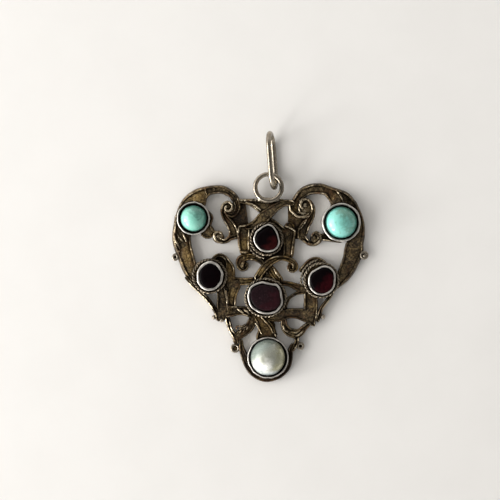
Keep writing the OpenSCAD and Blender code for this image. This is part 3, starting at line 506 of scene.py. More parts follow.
def strap(name, order):
    """One channelled strap: two raised rims beside a sunk floor, laid along its middle line."""
    line, level = LINES[name]
    line, ways = round_ends(line)
    left = np.stack([-ways[:, 1], ways[:, 0]], axis=1)
    half = line[:, 2:3]
    rim = np.minimum(RIM, 0.5 * half)
    crest = {side: rim_stands(line[:, :2] + side * left * (half - rim / 2), name, level)
             for side in (-1, 1)}
    for side, stands in crest.items():
        wear = [0.62 + uneven(x, y, 2.6, 1.2, order + 9 * side) for x, y in line[:, :2]]
        stands *= np.clip(np.array(wear) * RIM_SHARE.get(name, 1), 0.25, 1)
    middle = STRAP_COLUMNS // 2
    bpy.ops.mesh.primitive_grid_add(x_subdivisions=STRAP_COLUMNS - 1, y_subdivisions=len(line) - 1, size=1)
    obj = named(name)
    for v in obj.data.vertices:
        c, r = round((v.co.x + 0.5) * (STRAP_COLUMNS - 1)), round((v.co.y + 0.5) * (len(line) - 1))
        side = -1 if c < middle else 1
        x, y, h, lift = line[r]
        h += uneven(x, y, 2.2, 0.05, order)
        rw = min(RIM, 0.5 * h)
        top = RIM_TOP + lift + uneven(x, y, 2.4, 0.09, order) + uneven(x, y, 0.7, 0.04, order)
        floor = FLOOR + lift - 0.02 * (order % 5) + uneven(x, y, 1.4, 0.1) + uneven(x + c, y, 0.6, 0.05)
        floor = top - (top - floor) * min(1, rw / RIM)
        high = floor + (top - floor) * crest[side][r]
        lean = min(OUTER_LEAN.get((name, side), SLOPE), 0.3 * h)
        out, z = strap_section(h, rw, lean, floor, high)[middle - abs(c - middle)]
        v.co = (x + side * max(out, 0) * left[r][0], y + side * max(out, 0) * left[r][1], z)

    def close():
        closed_outwards()
        bpy.ops.mesh.fill_holes(sides=0)
        bpy.ops.mesh.normals_make_consistent(inside=False)
    return edit(obj, close)


def wire(name, rows, closed=False, spacing=SPACING, sides=3):
    """A round wire through rows of x, y, thickness and height."""
    line = smooth_line(rows, spacing) if not closed else np.array(rows, float)
    curve = bpy.data.curves.new(name, "CURVE")
    curve.dimensions = "3D"
    curve.bevel_depth = 0.5
    curve.bevel_resolution = sides
    curve.use_fill_caps = True
    spline = curve.splines.new("POLY")
    spline.points.add(len(line) - 1)
    spline.use_cyclic_u = closed
    for point, (x, y, thick, z) in zip(spline.points, line):
        point.co = (x, y, z, 1)
        point.radius = thick
    obj = bpy.data.objects.new(name, curve)
    bpy.context.scene.collection.objects.link(obj)
    only(obj)
    bpy.ops.object.convert(target="MESH")
    return edit(named(name), closed_outwards)


def ridge(name, rows):
    """A raised wire whose underside reaches down into the metal below it."""
    obj = wire(name, rows)
    for v in obj.data.vertices:
        if v.normal.z < -0.3:
            v.co.z = WIRE_FOOT
    return obj


# Raised pieces with flat outlines
def raised(name, outline, base, steps):
    """A closed piece that rises from a flat outline. Each step is (inwards, upwards)."""
    area = sum(x0 * y1 - x1 * y0 for (x0, y0), (x1, y1) in zip(outline, outline[1:] + outline[:1]))
    outline = outline if area > 0 else outline[::-1]
    bpy.ops.mesh.primitive_circle_add(vertices=len(outline), radius=1, fill_type="NGON")
    obj = named(name)
    for v, (x, y) in zip(obj.data.vertices, outline):
        v.co = (x, y, base)
    obj.data.update()
    if obj.data.polygons[0].normal.z < 0:
        obj.data.flip_normals()

    def rise():
        for inwards, upwards in steps:
            if inwards:
                bpy.ops.mesh.inset(thickness=inwards, depth=upwards, use_even_offset=True)
            else:
                bpy.ops.mesh.extrude_region_move(TRANSFORM_OT_translate={"value": (0, 0, upwards)})
        bpy.ops.mesh.select_all(action="SELECT")
        bpy.ops.mesh.normals_make_consistent(inside=False)
    return edit(obj, rise)


def plate(name, x, y, r, top):
    steps = [(0, 0.3), (0.08, top - 0.5), (0.06, 0.15), (0.1, 0.05), (r * 0.4, 0.02)]
    return raised(name, circle((x, y), r, 40), 0, steps)


def cup(name, outline, wall, height):
    """A stone cup: a wall whose worn top edge rolls in towards the stone, round a sunk seat."""
    lip = wall / 4
    steps = [(0, height - CUP_BASE - 0.16), (lip * 0.4, 0.11), (lip, 0.05), (lip * 1.6, -0.03),
             (lip * 0.7, -0.22), (0.05, -(height - SEAT - 0.25))]
    return raised(name, outline, CUP_BASE, steps)


def cutter(outline):
    """What is taken out of the casting under a stone."""
    return raised("cutter", outline, SEAT - SEAT_CUT, [(0, 6)])


# Twisted wire
def twisted_collar(name, middle, radii, height, thick, arc=None):
    """Two strands twisted round each other, in a closed ring or along an arc between two angles."""
    start, end = [math.radians(a) for a in arc or (0, 360)]
    along = (end - start) * (radii[0] + radii[1]) / 2
    turns = round(along * TWISTS)
    count = turns * ROWS_TO_A_TWIST
    strands = []
    for strand in (0, 1):
        rows = []
        for k in range(count if not arc else count + 1):
            a = start + (end - start) * k / count
            twist = 2 * math.pi * turns * k / count + strand * math.pi
            out = thick / 2 * math.cos(twist)
            x = middle[0] + (radii[0] + out) * math.cos(a)
            y = middle[1] + (radii[1] + out) * math.sin(a)
            rows.append((x + uneven(x, y, 0.9, 0.1, 1), y + uneven(x, y, 0.9, 0.1, 2), thick,
                         height + thick / 2 * math.sin(twist) + uneven(x, y, 1.2, 0.12, 3)))
        strands.append(wire(f"{name}_{strand}", rows, closed=not arc, spacing=9, sides=1))
    return joined(name, strands)


# Surfaces
class Finish:
    """A procedural material: helpers that add its nodes and return their outputs."""

    def __init__(self, name, metallic=0.0, roughness=0.5):
        self.material = bpy.data.materials.new(name)
        self.material.use_nodes = True
        tree = self.material.node_tree
        self.nodes, self.links = tree.nodes, tree.links
        self.shader = self.nodes["Principled BSDF"]
        self.shader.inputs["Metallic"].default_value = metallic
        self.shader.inputs["Roughness"].default_value = roughness
        self.place = self.nodes.new("ShaderNodeTexCoord").outputs["Object"]

    def put(self, node, values):
        for key, value in values.items():
            if isinstance(value, bpy.types.NodeSocket):
                self.links.new(value, node.inputs[key])
            else:
                node.inputs[key].default_value = value
        return node

    def grain(self, size_mm, detail=3.0, rough=0.6, distortion=0.0, place=None):
        node = self.put(self.nodes.new("ShaderNodeTexNoise"), {
            "Vector": place or self.place, "Scale": 1000 / size_mm, "Detail": detail, "Roughness": rough,
            "Distortion": distortion})
        return node.outputs["Fac"]

    def cell_edges(self, size_mm):
        node = self.nodes.new("ShaderNodeTexVoronoi")
        node.feature = "DISTANCE_TO_EDGE"
        return self.put(node, {"Vector": self.place, "Scale": 1000 / size_mm}).outputs["Distance"]

    def stretched(self, x, y, z, turn):
        node = self.put(self.nodes.new("ShaderNodeMapping"), {
            "Vector": self.place, "Scale": (x, y, z), "Rotation": (0, 0, turn)})
        return node.outputs["Vector"]

    def band(self, value, low, high, to_low=0.0, to_high=1.0):
        """Runs smoothly from one value to the other while the given one goes from low to high."""
        node = self.nodes.new("ShaderNodeMapRange")
        node.interpolation_type = "SMOOTHSTEP"
        return self.put(node, {"Value": value, "From Min": low, "From Max": high, "To Min": to_low,
                               "To Max": to_high}).outputs["Result"]

    def calculate(self, operation, a, b):
        node = self.nodes.new("ShaderNodeMath")
        node.operation = operation
        return self.put(node, {0: a, 1: b}).outputs[0]

    def add(self, a, b):
        return self.calculate("ADD", a, b)

    def less(self, a, b):
        return self.calculate("SUBTRACT", a, b)

    def times(self, a, b):
        return self.calculate("MULTIPLY", a, b)

    def mix(self, amount, a, b):
        node = self.nodes.new("ShaderNodeMix")
        node.data_type = "RGBA"
        a, b = [v if isinstance(v, bpy.types.NodeSocket) else (*v, 1) for v in (a, b)]
        return self.put(node, {0: amount, 6: a, 7: b}).outputs[2]

    def painted(self, name):
        node = self.nodes.new("ShaderNodeAttribute")
        node.attribute_name = name
        return node.outputs["Fac"]

    def hollow(self, reach_mm):
        """Near 0 in the depth of a hollow and 1 on open surfaces."""
        node = self.nodes.new("ShaderNodeAmbientOcclusion")
        node.samples = 8
        return self.put(node, {"Distance": reach_mm * MM}).outputs["AO"]

    def along(self, axis):
        return self.put(self.nodes.new("ShaderNodeSeparateXYZ"), {0: self.place}).outputs[axis]

    def relief(self, height, depth_mm, strength, under=None):
        values = {"Height": height, "Distance": depth_mm * MM, "Strength": strength}
        if under is not None:
            values["Normal"] = under
        return self.put(self.nodes.new("ShaderNodeBump"), values).outputs["Normal"]

    def set(self, **values):
        return self.put(self.shader, {key.replace("_", " "): value for key, value in values.items()})


def cast_silver():
    """Cast silver with brown tarnish in the channels, remains of gilding and rubbed rims, metal that faces
    the window painted bright as a highlight, and painted shade near black in grooves and hollows.
    """
    f = Finish("tarnished silver")
    sand, pits, mottle = f.grain(0.36, 2, 0.65), f.grain(0.6, 2, 0.6), f.grain(1.6, 3, 0.7)
    cloud, drift = f.grain(3.4, 3, 0.6), f.grain(2.3, 2, 0.6, 0.5)
    grain = f.add(f.band(sand, 0.36, 0.64, -0.6, 0.6), f.band(pits, 0.36, 0.64, -0.25, 0.25))
    # Bright metal: rubbed wear, with painted highlight where the metal faces the window.
    worn_and_lit = f.add(f.painted("worn_and_lit"), f.band(mottle, 0.35, 0.65, -0.5, 0.1))
    worn_and_lit = f.add(worn_and_lit, f.band(cloud, 0.35, 0.65, -0.45, 0.05))
    worn_and_lit = f.band(f.add(worn_and_lit, f.times(grain, 0.34)), 0.25, 1.0)
    gilt = f.add(f.painted("gilt"), f.band(cloud, 0.35, 0.7, -0.35, 0.35))
    gilt = f.times(f.band(gilt, 0.1, 0.9), f.band(mottle, 0.3, 0.6, 0.3, 1.0))
    spread = f.add(f.band(mottle, 0.3, 0.7, 0.25, 0.45), f.times(grain, 0.5))
    spread = f.add(spread, f.band(f.grain(2.8, 3, 0.65, 0.3), 0.35, 0.65, -0.2, 0.22))

    def patchy(dark_tone, light_tone):
        return f.mix(f.band(spread, 0, 1), dark_tone, light_tone)

    tarnish = patchy((0.026, 0.017, 0.007), (0.262, 0.191, 0.096))
    rust = f.times(f.band(drift, 0.5, 0.66), f.band(pits, 0.35, 0.6, 0.2, 0.8))
    colour = f.mix(rust, tarnish, (0.13, 0.062, 0.025))
    colour = f.mix(gilt, colour, patchy((0.09, 0.052, 0.015), (0.42, 0.285, 0.105)))
    colour = f.mix(worn_and_lit, colour, f.mix(f.band(sand, 0.3, 0.7), (0.39, 0.308, 0.2), (0.7, 0.605, 0.44)))
    # Low floors and the listed places go dark brown to near black, partly as painted shade.
    colour = f.mix(f.painted("low"), colour, patchy((0.01, 0.006, 0.003), (0.065, 0.034, 0.014)))
    # Painted shade: deep in narrow grooves and wide hollows the colour goes near black and the shine drops.
    groove = f.band(f.hollow(0.45), 0.48, 1.0)
    deep = f.band(f.hollow(1.5), 0.2, 0.88)
    dark = f.times(groove, deep)
    colour = f.mix(dark, f.mix(0.93, colour, (0.008, 0.005, 0.0025)), colour)
    bump = f.relief(pits, 0.16, 0.9, f.relief(mottle, 0.25, 0.7, f.relief(sand, 0.08, 0.8)))
    f.set(Base_Color=colour, Metallic=f.band(worn_and_lit, 0, 1, 0.55, 1), Roughness=f.band(worn_and_lit, 0, 1, 0.5, 0.28),
          Specular_IOR_Level=f.band(dark, 0, 1, 0.02, 0.5), Normal=bump)
    return f.material


def bright_silver(name, tone, corner_shade, grain_mm=0.35, scratches=0.2, shade_from=0.3, dull=0.0):
    """Rubbed silver with fine scratches, and painted shade in the corners."""
    f = Finish(name, metallic=1.0)
    fine, patch = f.grain(grain_mm, 4, 0.7), f.grain(1.6, 3, 0.6)
    colour = f.mix(f.band(f.add(patch, f.band(fine, 0.3, 0.7, -0.15, 0.15)), 0.3, 0.75), tone,
                   tuple(0.6 * c for c in tone))
    # Painted shade: the colour goes towards the given dark tone in corners and hollows.
    dark = f.times(f.band(f.hollow(0.5), shade_from, 0.9), f.band(f.hollow(1.6), 0.1, 0.6))
    colour = f.mix(dark, corner_shade, colour)
    scratch = f.grain(0.5, 2, 0.5, place=f.stretched(8, 1, 1, 0.7))
    bump = f.relief(scratch, 0.02, scratches, f.relief(patch, 0.1, 0.3))
    f.set(Base_Color=colour, Roughness=f.band(fine, 0.3, 0.7, 0.22 + dull, 0.38 + dull), Normal=bump)
    return f.material


def turquoise(name, light, deep, vein, vein_from, middle, streaks):
    """Polished turquoise with faint clouds, paler specks and thin darker veins, with painted shade that
    deepens the colour towards the upper right, away from the window.
    """
    f = Finish(name)
    cloud, speck = f.grain(1.5, 4, 0.65, 0.5), f.grain(0.5, 3, 0.6)
    # Painted shade: the colour runs from the lit tone at the lower left to the deep tone at the upper right,
    # stirred by clouds.
    away = f.add(f.along("X"), f.times(f.along("Y"), 0.7))
    from_middle = (middle[0] + 0.7 * middle[1]) * MM
    away = f.band(away, from_middle - 2.6 * MM, from_middle + 3.4 * MM, -0.35, 0.75)
    away = f.add(away, f.band(cloud, 0.35, 0.65, -0.35, 0.5))
    colour = f.mix(f.band(away, 0, 1), light, deep)
    colour = f.mix(f.band(speck, 0.62, 0.78, 0, 0.4), colour, tuple(min(1, 1.25 * c) for c in light))
    streak = f.grain(0.9, 3, 0.7, 1.2, f.stretched(1, 0.45, 1, -0.6))
    colour = f.mix(f.band(streak, 0.52, 0.7, 0, streaks), colour, deep)
    line = f.times(f.band(f.cell_edges(1.7), 0.03, 0.0), f.band(speck, 0.4, 0.6))
    near = f.band(f.along("Y"), vein_from * MM, (vein_from + 0.8) * MM, 0.15, 0.9)
    colour = f.mix(f.times(line, near), colour, vein)
    f.set(Base_Color=colour, Coat_Weight=0.9, Coat_Roughness=0.09, Specular_IOR_Level=0.3,
          Roughness=f.band(speck, 0.3, 0.7, 0.34, 0.46), Normal=f.relief(cloud, 0.05, 0.3))
    return f.material


def garnet(name, dark, glow, lit_from, lit_to, shine, specks):
    """Near black red stone, with a painted wine red glow of light through the stone on the side away from the
    window.
    """
    f = Finish(name, roughness=0.12)
    # Painted glow: the colour runs from the dark tone to the glow towards the lower right, away from the
    # window.
    side = f.less(f.along("X"), f.times(f.along("Y"), 0.8))
    cloud = f.grain(1.6, 2, 0.5)
    side = f.add(side, f.band(cloud, 0.3, 0.7, -0.0008, 0.0008))
    colour = f.mix(f.band(side, lit_from * MM, lit_to * MM), dark, glow)
    colour = f.mix(f.band(f.grain(0.7, 3, 0.6), 0.35, 0.75, 0, 0.5), colour, tuple(0.4 * c for c in dark))
    colour = f.mix(f.band(f.grain(0.32, 2, 0.6), 0.56, 0.7, 0, specks), colour, tuple(2.6 * c for c in dark))
    f.set(Base_Color=colour, Specular_IOR_Level=shine,
          Normal=f.relief(f.grain(1.1, 3, 0.6), 0.04, 0.5))
    return f.material


def pearl_skin():
    """Uneven grey pearl: a painted white highlight on the lower left, painted shade at the upper left, olive
    on the right with a painted pale reflection near its edge, and a blue cast below.
    """
    f = Finish("pearl skin")
    side, up = f.along("X"), f.along("Y")
    cloud = f.band(f.grain(2.4, 3, 0.5), 0.3, 0.7, -0.0008, 0.0008)
    across, along = f.add(side, cloud), f.add(up, cloud)
    lower_left = f.add(f.times(across, 0.7), along)
    # Painted highlight: white on the lower left, where the window is reflected.
    colour = f.mix(f.band(lower_left, -0.0236, -0.0206), (0.88, 0.88, 0.83), (0.36, 0.37, 0.31))
    upper_left = f.less(along, f.times(across, 0.8))
    # Painted shade at the upper left.
    colour = f.mix(f.times(f.band(upper_left, -0.0191, -0.0166), 0.85), colour, (0.2, 0.25, 0.225))
    colour = f.mix(f.times(f.band(across, 0.0004, 0.0018), 0.8), colour, (0.35, 0.34, 0.2))
    # Painted reflection: a pale streak near the right edge.
    colour = f.mix(f.times(f.band(across, 0.0018, 0.0027), 0.7), colour, (0.74, 0.72, 0.5))
    colour = f.mix(f.times(f.band(along, -0.0218, -0.0234), 0.8), colour, (0.38, 0.45, 0.45))
    f.set(Base_Color=colour, Metallic=0.2, Coat_Weight=0.4, Coat_Roughness=0.16, Specular_IOR_Level=0.5,
          Roughness=f.band(f.grain(0.9, 3, 0.5), 0.3, 0.7, 0.22, 0.34),
          Normal=f.relief(f.grain(2.4, 2, 0.5), 0.2, 0.35))
    return f.material


def paper():
    """Pale paper, with painted shade that makes it a little greyer towards its near edge."""
    f = Finish("pale paper", roughness=0.85)
    colour = f.mix(f.band(f.grain(14, 3, 0.5), 0.3, 0.7), (0.87, 0.855, 0.83), (0.89, 0.875, 0.85))
    # Painted shade: the paper darkens towards its near edge.
    near = f.band(f.along("Y"), 0.06, -0.06, 0, 0.14)
    colour = f.mix(near, colour, (0.4, 0.385, 0.365))
    f.set(Base_Color=colour, Normal=f.relief(f.grain(0.7, 4, 0.6), 0.03, 0.3))
    return f.material


# Painting of wear, gilding, painted highlight and painted shade

# Remains of gilding: x, y, radius and strength.
GILT = [
    (-14.3, 12.8, 2.2, 0.7), (-15.8, 1.5, 1.6, 0.9), (-14.6, -1.2, 1.4, 0.7), (-4.3, 3.4, 1.2, 0.9),
    (-8, -4.4, 1.5, 0.9), (-7.4, -7.4, 1.4, 0.9), (-5, -4.8, 1.8, 0.8), (-4.2, -0.2, 1.8, 0.9),
    (-1.8, -3.2, 1.2, 0.9), (0.8, -3.4, 1.4, 0.8), (5.2, 1.6, 1.2, 0.6), (4.9, 8.6, 1.6, 0.6),
    (16.4, 0.4, 2, 0.6), (13, 12.4, 1.5, 0.6), (-0.6, -14, 1.8, 0.9), (-3.2, -12, 1.4, 0.7),
    (8.2, -9.4, 1.8, 0.4), (6.2, -3, 1.2, 0.5), (4.6, -5.6, 1.4, 0.5), (-7, -18.3, 0.8, 1),
    (6.1, -17.9, 0.8, 0.8), (0.4, -0.8, 1.6, 0.8), (2.6, -0.4, 1.4, 0.6), (-1.2, 7.8, 1.4, 0.5),
    (-8, -2.4, 1.2, 0.8), (-5.2, 2, 1.2, 0.9), (-16.6, -0.4, 1.4, 0.8), (1.4, -4, 1, 0.9),
    (-4.6, -11, 1, 0.6), (4, 3.6, 1.4, 0.4), (5.1, 7, 1.1, 1), (-5.3, 9.4, 1, 0.5), (14.8, -1.6, 1.4, 0.4),
    (-12, 4.6, 1.2, 0.4),
]

# Places painted brighter, as rubbed wear and as painted highlight on edges and folds that catch the window's
# light, or, below 0, duller: x, y, radius and strength.
RUBBED_AND_LIT = [
    (-18.6, 3.6, 1.6, 0.45), (14.4, 12.2, 1.4, 0.25), (17, 2.4, 1.2, 0.2), (-5.4, -10.9, 1, 0.35),
    (-8.2, -14.2, 1.4, 0.25), (-1.6, 10, 1.2, 0.2), (5, 8.6, 1, 0.2), (-3, 9.9, 1.2, 0.2),
    (8, -9.6, 1.8, -0.2), (6, -3, 2, -0.25), (-8.2, -4, 1.6, -0.2), (6.4, 9.4, 2, 0.3),
    (6.2, 7.4, 1.2, 0.25), (-7, 11.4, 1.4, 0.2), (3, 10.8, 1.2, 0.2), (-6.2, 5.8, 1, 0.2),
    (-4.8, -21.4, 1.3, -0.45), (-2.6, -23.7, 1.3, -0.4), (11, 13.2, 1.4, 0.2), (8, 13.4, 1.3, 0.25),
    (16.2, 10.8, 1.3, 0.25), (0.2, 9.2, 1.3, 0.2), (-13.6, 13.2, 1, 0.2), (-15.8, -5.8, 0.9, 0.8),
    (-14.4, -7.2, 0.8, 0.85), (-13.1, -8.4, 0.8, 0.9), (-12, -9.8, 0.8, 0.9), (-11, -11.2, 0.7, 0.7),
    (-8.7, -13.2, 0.7, 0.8), (-8.2, -14.6, 0.6, 0.8), (-7.5, -16, 0.6, 0.5), (-6.6, -14.1, 0.6, -0.5),
    (-19.2, 6, 0.8, 0.5), (-19.2, 8.2, 0.7, 0.5), (-17.9, 10.6, 0.8, 0.45), (-15.6, 12.9, 0.8, 0.45),
    (-12, 14.5, 0.8, 0.45), (-9.4, 14.3, 0.8, 0.4), (-8.4, 10.2, 1.3, 0.3), (-8.6, 6.8, 1, 0.25),
    (-10, 3.6, 1, 0.2), (-6.2, -20.2, 0.7, 0.7), (-5.6, -22, 0.6, 0.6), (1.2, -24, 1.3, -0.45),
    (3.3, -22.2, 1.3, -0.45), (4, -20, 1.1, -0.4), (-8.6, 3.2, 1, 0.2), (9.4, 3.6, 1.2, 0.2),
]

# Places painted near black, partly as blackened tarnish and partly as painted shade in hollows and on sides
# away from the window: x, y, radius and strength.
BLACKENED_AND_SHADED = [
    (-5.2, -19.4, 1.2, 0.95), (-4.6, -21.8, 1.2, 1), (-3, -23.4, 1.2, 0.95), (-0.6, -24.2, 1, 0.8),
    (1.6, -23.8, 1.2, 1), (3.2, -22.2, 1.4, 1), (4, -19.8, 1, 0.95), (-6.3, 8.2, 1.3, 1),
    (6, 5.6, 1.2, 0.5), (16.9, -0.4, 1.4, 0.55), (15.6, -2.6, 1.2, 0.6), (16.8, 3, 1.2, 0.45),
    (8.2, -8.4, 1.4, 0.55), (5.4, -11.4, 1.3, 0.6), (2.4, -11.9, 1.2, 0.55), (-9.6, -10.6, 1.3, 0.35),
    (4.6, -5.8, 1, 0.4), (-9.4, -1.2, 1, 0.7), (8.6, -1.3, 1, 0.5), (3, -9.6, 1, 0.7),
    (-16.4, 3.4, 0.9, 0.6), (17.2, 4.2, 1, 0.5), (-2.8, -14.6, 0.7, 0.4), (3.7, 4.4, 1.2, 0.45),
    (3.6, 1.6, 1, 0.4), (15.4, 1.2, 1.1, 0.5), (14.4, -2.4, 1, 0.4), (17.2, 9.8, 1.2, 0.35),
    (11, 13.2, 1, 0.3), (7.6, -10.6, 1.2, 0.3), (-10, -9.4, 1, 0.3), (-2, 2, 1.4, 0.3),
    (-8.4, 13.2, 1, 0.25),
]


def spot(points, x, y, r):
    """1 within half the radius of a place, and 0 from one and a half times the radius."""
    return np.clip(1.5 - np.hypot(points[:, 0] - x, points[:, 1] - y) / r, 0, 1)


def paint(obj):
    """Writes where the metal is rubbed bright or painted bright as a highlight, where gilding remains, and
    where it is painted dark, as tarnish and as painted shade.
    """
    count = len(obj.data.vertices)
    co, normal = np.zeros(count * 3), np.zeros(count * 3)
    obj.data.vertices.foreach_get("co", co)
    obj.data.vertices.foreach_get("normal", normal)
    co, normal = co.reshape(-1, 3), normal.reshape(-1, 3)
    lift = np.zeros(count)
    for line, level in LINES.values():
        if level:
            away = beyond(co, line)
            near = away.argmin(axis=1)
            lift = np.where(away.min(axis=1) < 0.05, line[near, 3], lift)
    worn_and_lit = np.clip((co[:, 2] - lift - FLOOR - 0.08) / (RIM_TOP - FLOOR - 0.12), 0, 1)
    worn_and_lit *= np.clip(0.25 + normal[:, 2], 0.25, 1)
    # Painted highlight: metal that faces the window on the left is painted bright like a rubbed rim.
    facing_left = np.clip(-1.4 * normal[:, 0] - 0.2, 0, 1) * np.clip((co[:, 2] - 0.3) / 0.4, 0, 1)
    worn_and_lit = np.maximum(worn_and_lit, 0.8 * facing_left) - 0.12
    for x, y, r, strength in RUBBED_AND_LIT:
        worn_and_lit += strength * spot(co, x, y, r)
    worn_and_lit = np.where(normal[:, 2] < -0.5, 0.55, worn_and_lit)
    gilt = np.zeros(count)
    for x, y, r, strength in GILT:
        gilt = np.maximum(gilt, strength * spot(co, x, y, r))
    low = np.clip((0.95 - co[:, 2]) / 0.2, 0, 1) * (normal[:, 2] > 0.3)
    # Painted shade, with tarnish: the listed places go near black.
    for x, y, r, strength in BLACKENED_AND_SHADED:
        low = np.maximum(low, strength * spot(co, x, y, r))
    low *= (1 - 0.7 * np.clip(worn_and_lit, 0, 1)) * (1 - 0.65 * gilt)
    for name, values in (("worn_and_lit", worn_and_lit), ("gilt", gilt), ("low", low)):
        layer = obj.data.attributes.new(name, "FLOAT", "POINT")
        layer.data.foreach_set("value", values.astype(np.float32))
    return obj


def settle(obj, body, material, node=None, smooth=38):
    """Brings a finished piece to metres, smooths it and fixes it to its body."""
    only(obj)
    obj.scale = (MM, MM, MM)
    bpy.ops.object.transform_apply(location=True, rotation=True, scale=True)
    bpy.ops.object.shade_smooth_by_angle(angle=math.radians(smooth))
    obj.data.materials.clear()
    obj.data.materials.append(material)
    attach(obj, body)
    if node:
        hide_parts(node)
    return obj


# Metalwork
def garnet_outline(middle, corners, per=4):
    return smooth_ring([(x * STONE_FILL, y * STONE_FILL) for x, y in corners], middle, per)


def build_frame():
    """The casting: straps, wires, plates and webs as one skin, cut away under the stones."""
    parts = [strap(name, i) for i, name in enumerate(LINES)]
    parts += [ridge(name, rows) for name, rows in WIRES.items()]
    parts += [plate(f"plate_{i}", x, y, r, top) for i, (x, y, r, top, stops) in enumerate(PLATES)]
    parts.append(raised("centre_plate", circle((0, 0), 1, 48), 0, [(0, 1.1), (0.05, 0.07), (0.08, 0.03)]))
    middle, _ = GARNETS["garnet_centre"]
    for v in parts[-1].data.vertices:
        v.co.x = middle[0] + v.co.x * CENTRE_PLATE[0]
        v.co.y = middle[1] + v.co.y * CENTRE_PLATE[1]
    parts += [raised(f"web_{i}", web, 0, [(0, top - 0.05), (0.05, 0.05)])
              for i, (top, web) in enumerate(WEBS)]
    body = united(parts)
    seats = [garnet_outline(*stone) for stone in GARNETS.values()]
    seats += [circle(middle, r + gap + SEAT_ROOM) for middle, r, gap, _ in CABOCHONS.values()]
    seats.append(circle(PEARL_AT, PEARL_CUP_R + SEAT_ROOM))
    for outline in seats:
        combine(body, cutter(outline), "DIFFERENCE")
    body = main_skin(body)
    body.name = body.data.name = "heart_casting"
    return paint(body)


def build_cups():
    """All stone cups, their walls made a little uneven."""
    cups = [cup(f"{name}_cup", smooth_ring(outline), *GARNET_WALLS[name])
            for name, outline in GARNET_CUPS.items()]
    for name, (middle, r, gap, wall) in CABOCHONS.items():
        cups.append(cup(f"{name}_cup", circle(middle, r + gap + wall, 56), wall, CABOCHON_CUP_TOP))
    outline = circle(PEARL_AT, PEARL_CUP_R + PEARL_CUP_WALL, 64)
    cups.append(cup("pearl_cup", outline, PEARL_CUP_WALL, PEARL_CUP_TOP))
    for one in cups:
        for v in one.data.vertices:
            v.co.x += uneven(v.co.x, v.co.y, 0.9, 0.1, 1)
            v.co.y += uneven(v.co.x, v.co.y, 0.9, 0.1, 2)
            v.co.z += uneven(v.co.x, v.co.y, 1.1, 0.14, 3) if v.co.z > SEAT + 0.5 else 0
    return joined("stone_cups", cups)


def build_collars(name, garnets, outer):
    """The twisted wires round the given garnets, and one more round part of one of them."""
    collars = [twisted_collar(f"{one}_collar", *COLLARS[one], COLLAR_Z, COLLAR_WIRE) for one in garnets]
    middle, r, arc = outer
    collars.append(twisted_collar("outer_collar", middle, (r, r), OUTER_COLLAR_Z, OUTER_COLLAR_WIRE, arc))
    return joined(name, collars)


def ball(name, place, size):
    bpy.ops.mesh.primitive_uv_sphere_add(segments=20, ring_count=12, radius=1, location=place)
    obj = named(name)
    obj.scale = size
    bpy.ops.object.transform_apply(location=True, rotation=True, scale=True)
    return obj


def ringlet(name, place, r, thick):
    bpy.ops.mesh.primitive_torus_add(major_segments=28, minor_segments=12, major_radius=r,
                                     minor_radius=thick / 2, location=place)
    obj = named(name)
    bpy.ops.object.transform_apply(location=True, rotation=True, scale=True)
    for v in obj.data.vertices:
        v.co.z += uneven(v.co.x, v.co.y, 0.8, 0.06)
    return obj


def pit(name, x, y, r):
    """The dark sunk floor inside a ringlet."""
    return raised(name, circle((x, y), r, 24), 0.05, [(0, 0.5), (0.08, 0.02)])


def build_edge_drops():
    """The ringlets and beads at the heart's outer edge."""
    left = ringlet("left_ringlet", (0, 0, 1.0), 0.5, 0.52)
    for v in left.data.vertices:
        v.co.x, v.co.y = v.co.x * 0.9 - 18.95, v.co.y * 1.05 - 0.02
    parts = [
        left, ringlet("right_ringlet", (18.85, 0.35, 1.05), 0.6, 0.6),
        ball("right_ringlet_bead", (18.95, 0.2, 1.15), (0.4, 0.36, 0.4)),
        ringlet("lower_left_ringlet", (-7, -18.3, 0.65), 0.7, 0.5),
        ringlet("lower_right_ringlet", (6.1, -17.85, 0.75), 0.56, 0.54),
        ball("left_bead", (-11.2, -12.1, 0.62), (0.45, 0.45, 0.5)),
        ball("left_foot_bead", (-9.7, -12.65, 0.75), (0.5, 0.45, 0.6)),
        ball("right_bead", (10.6, -12, 0.62), (0.5, 0.5, 0.58)),
    ]
    return joined("edge_ringlets", parts)


def build_pits():
    parts = [pit("left_pit", -19.1, 0, 0.32), pit("right_pit", 18.95, 0.3, 0.5),
             pit("lower_left_pit", -7, -18.3, 0.6), pit("lower_right_pit", 6.1, -17.9, 0.5)]
    return paint(joined("ringlet_floors", parts))


def build_jump_ring():
    """The round ring at the top with its lumps of solder."""
    bpy.ops.mesh.primitive_torus_add(major_segments=96, minor_segments=24, major_radius=RING_R,
                                     minor_radius=RING_WIRE / 2, location=(*RING_AT, RING_Z))
    ring = named("jump_ring")
    bpy.ops.object.transform_apply(location=True, rotation=True, scale=True)
    for v in ring.data.vertices:
        across = v.co.z - RING_Z
        v.co.z = RING_Z + across * (0.96 + uneven(v.co.x, v.co.y, 1.5, 0.08))
    solder = [ball("solder_middle", (-0.35, 11.3, 1.4), (1.5, 0.62, 0.48)),
              ball("solder_left", (-1.6, 11.55, 1.35), (1, 0.5, 0.44)),
              ball("solder_right", (1, 11.5, 1.35), (1, 0.48, 0.42))]
    for lump in solder:
        combine(ring, lump)
    return ring


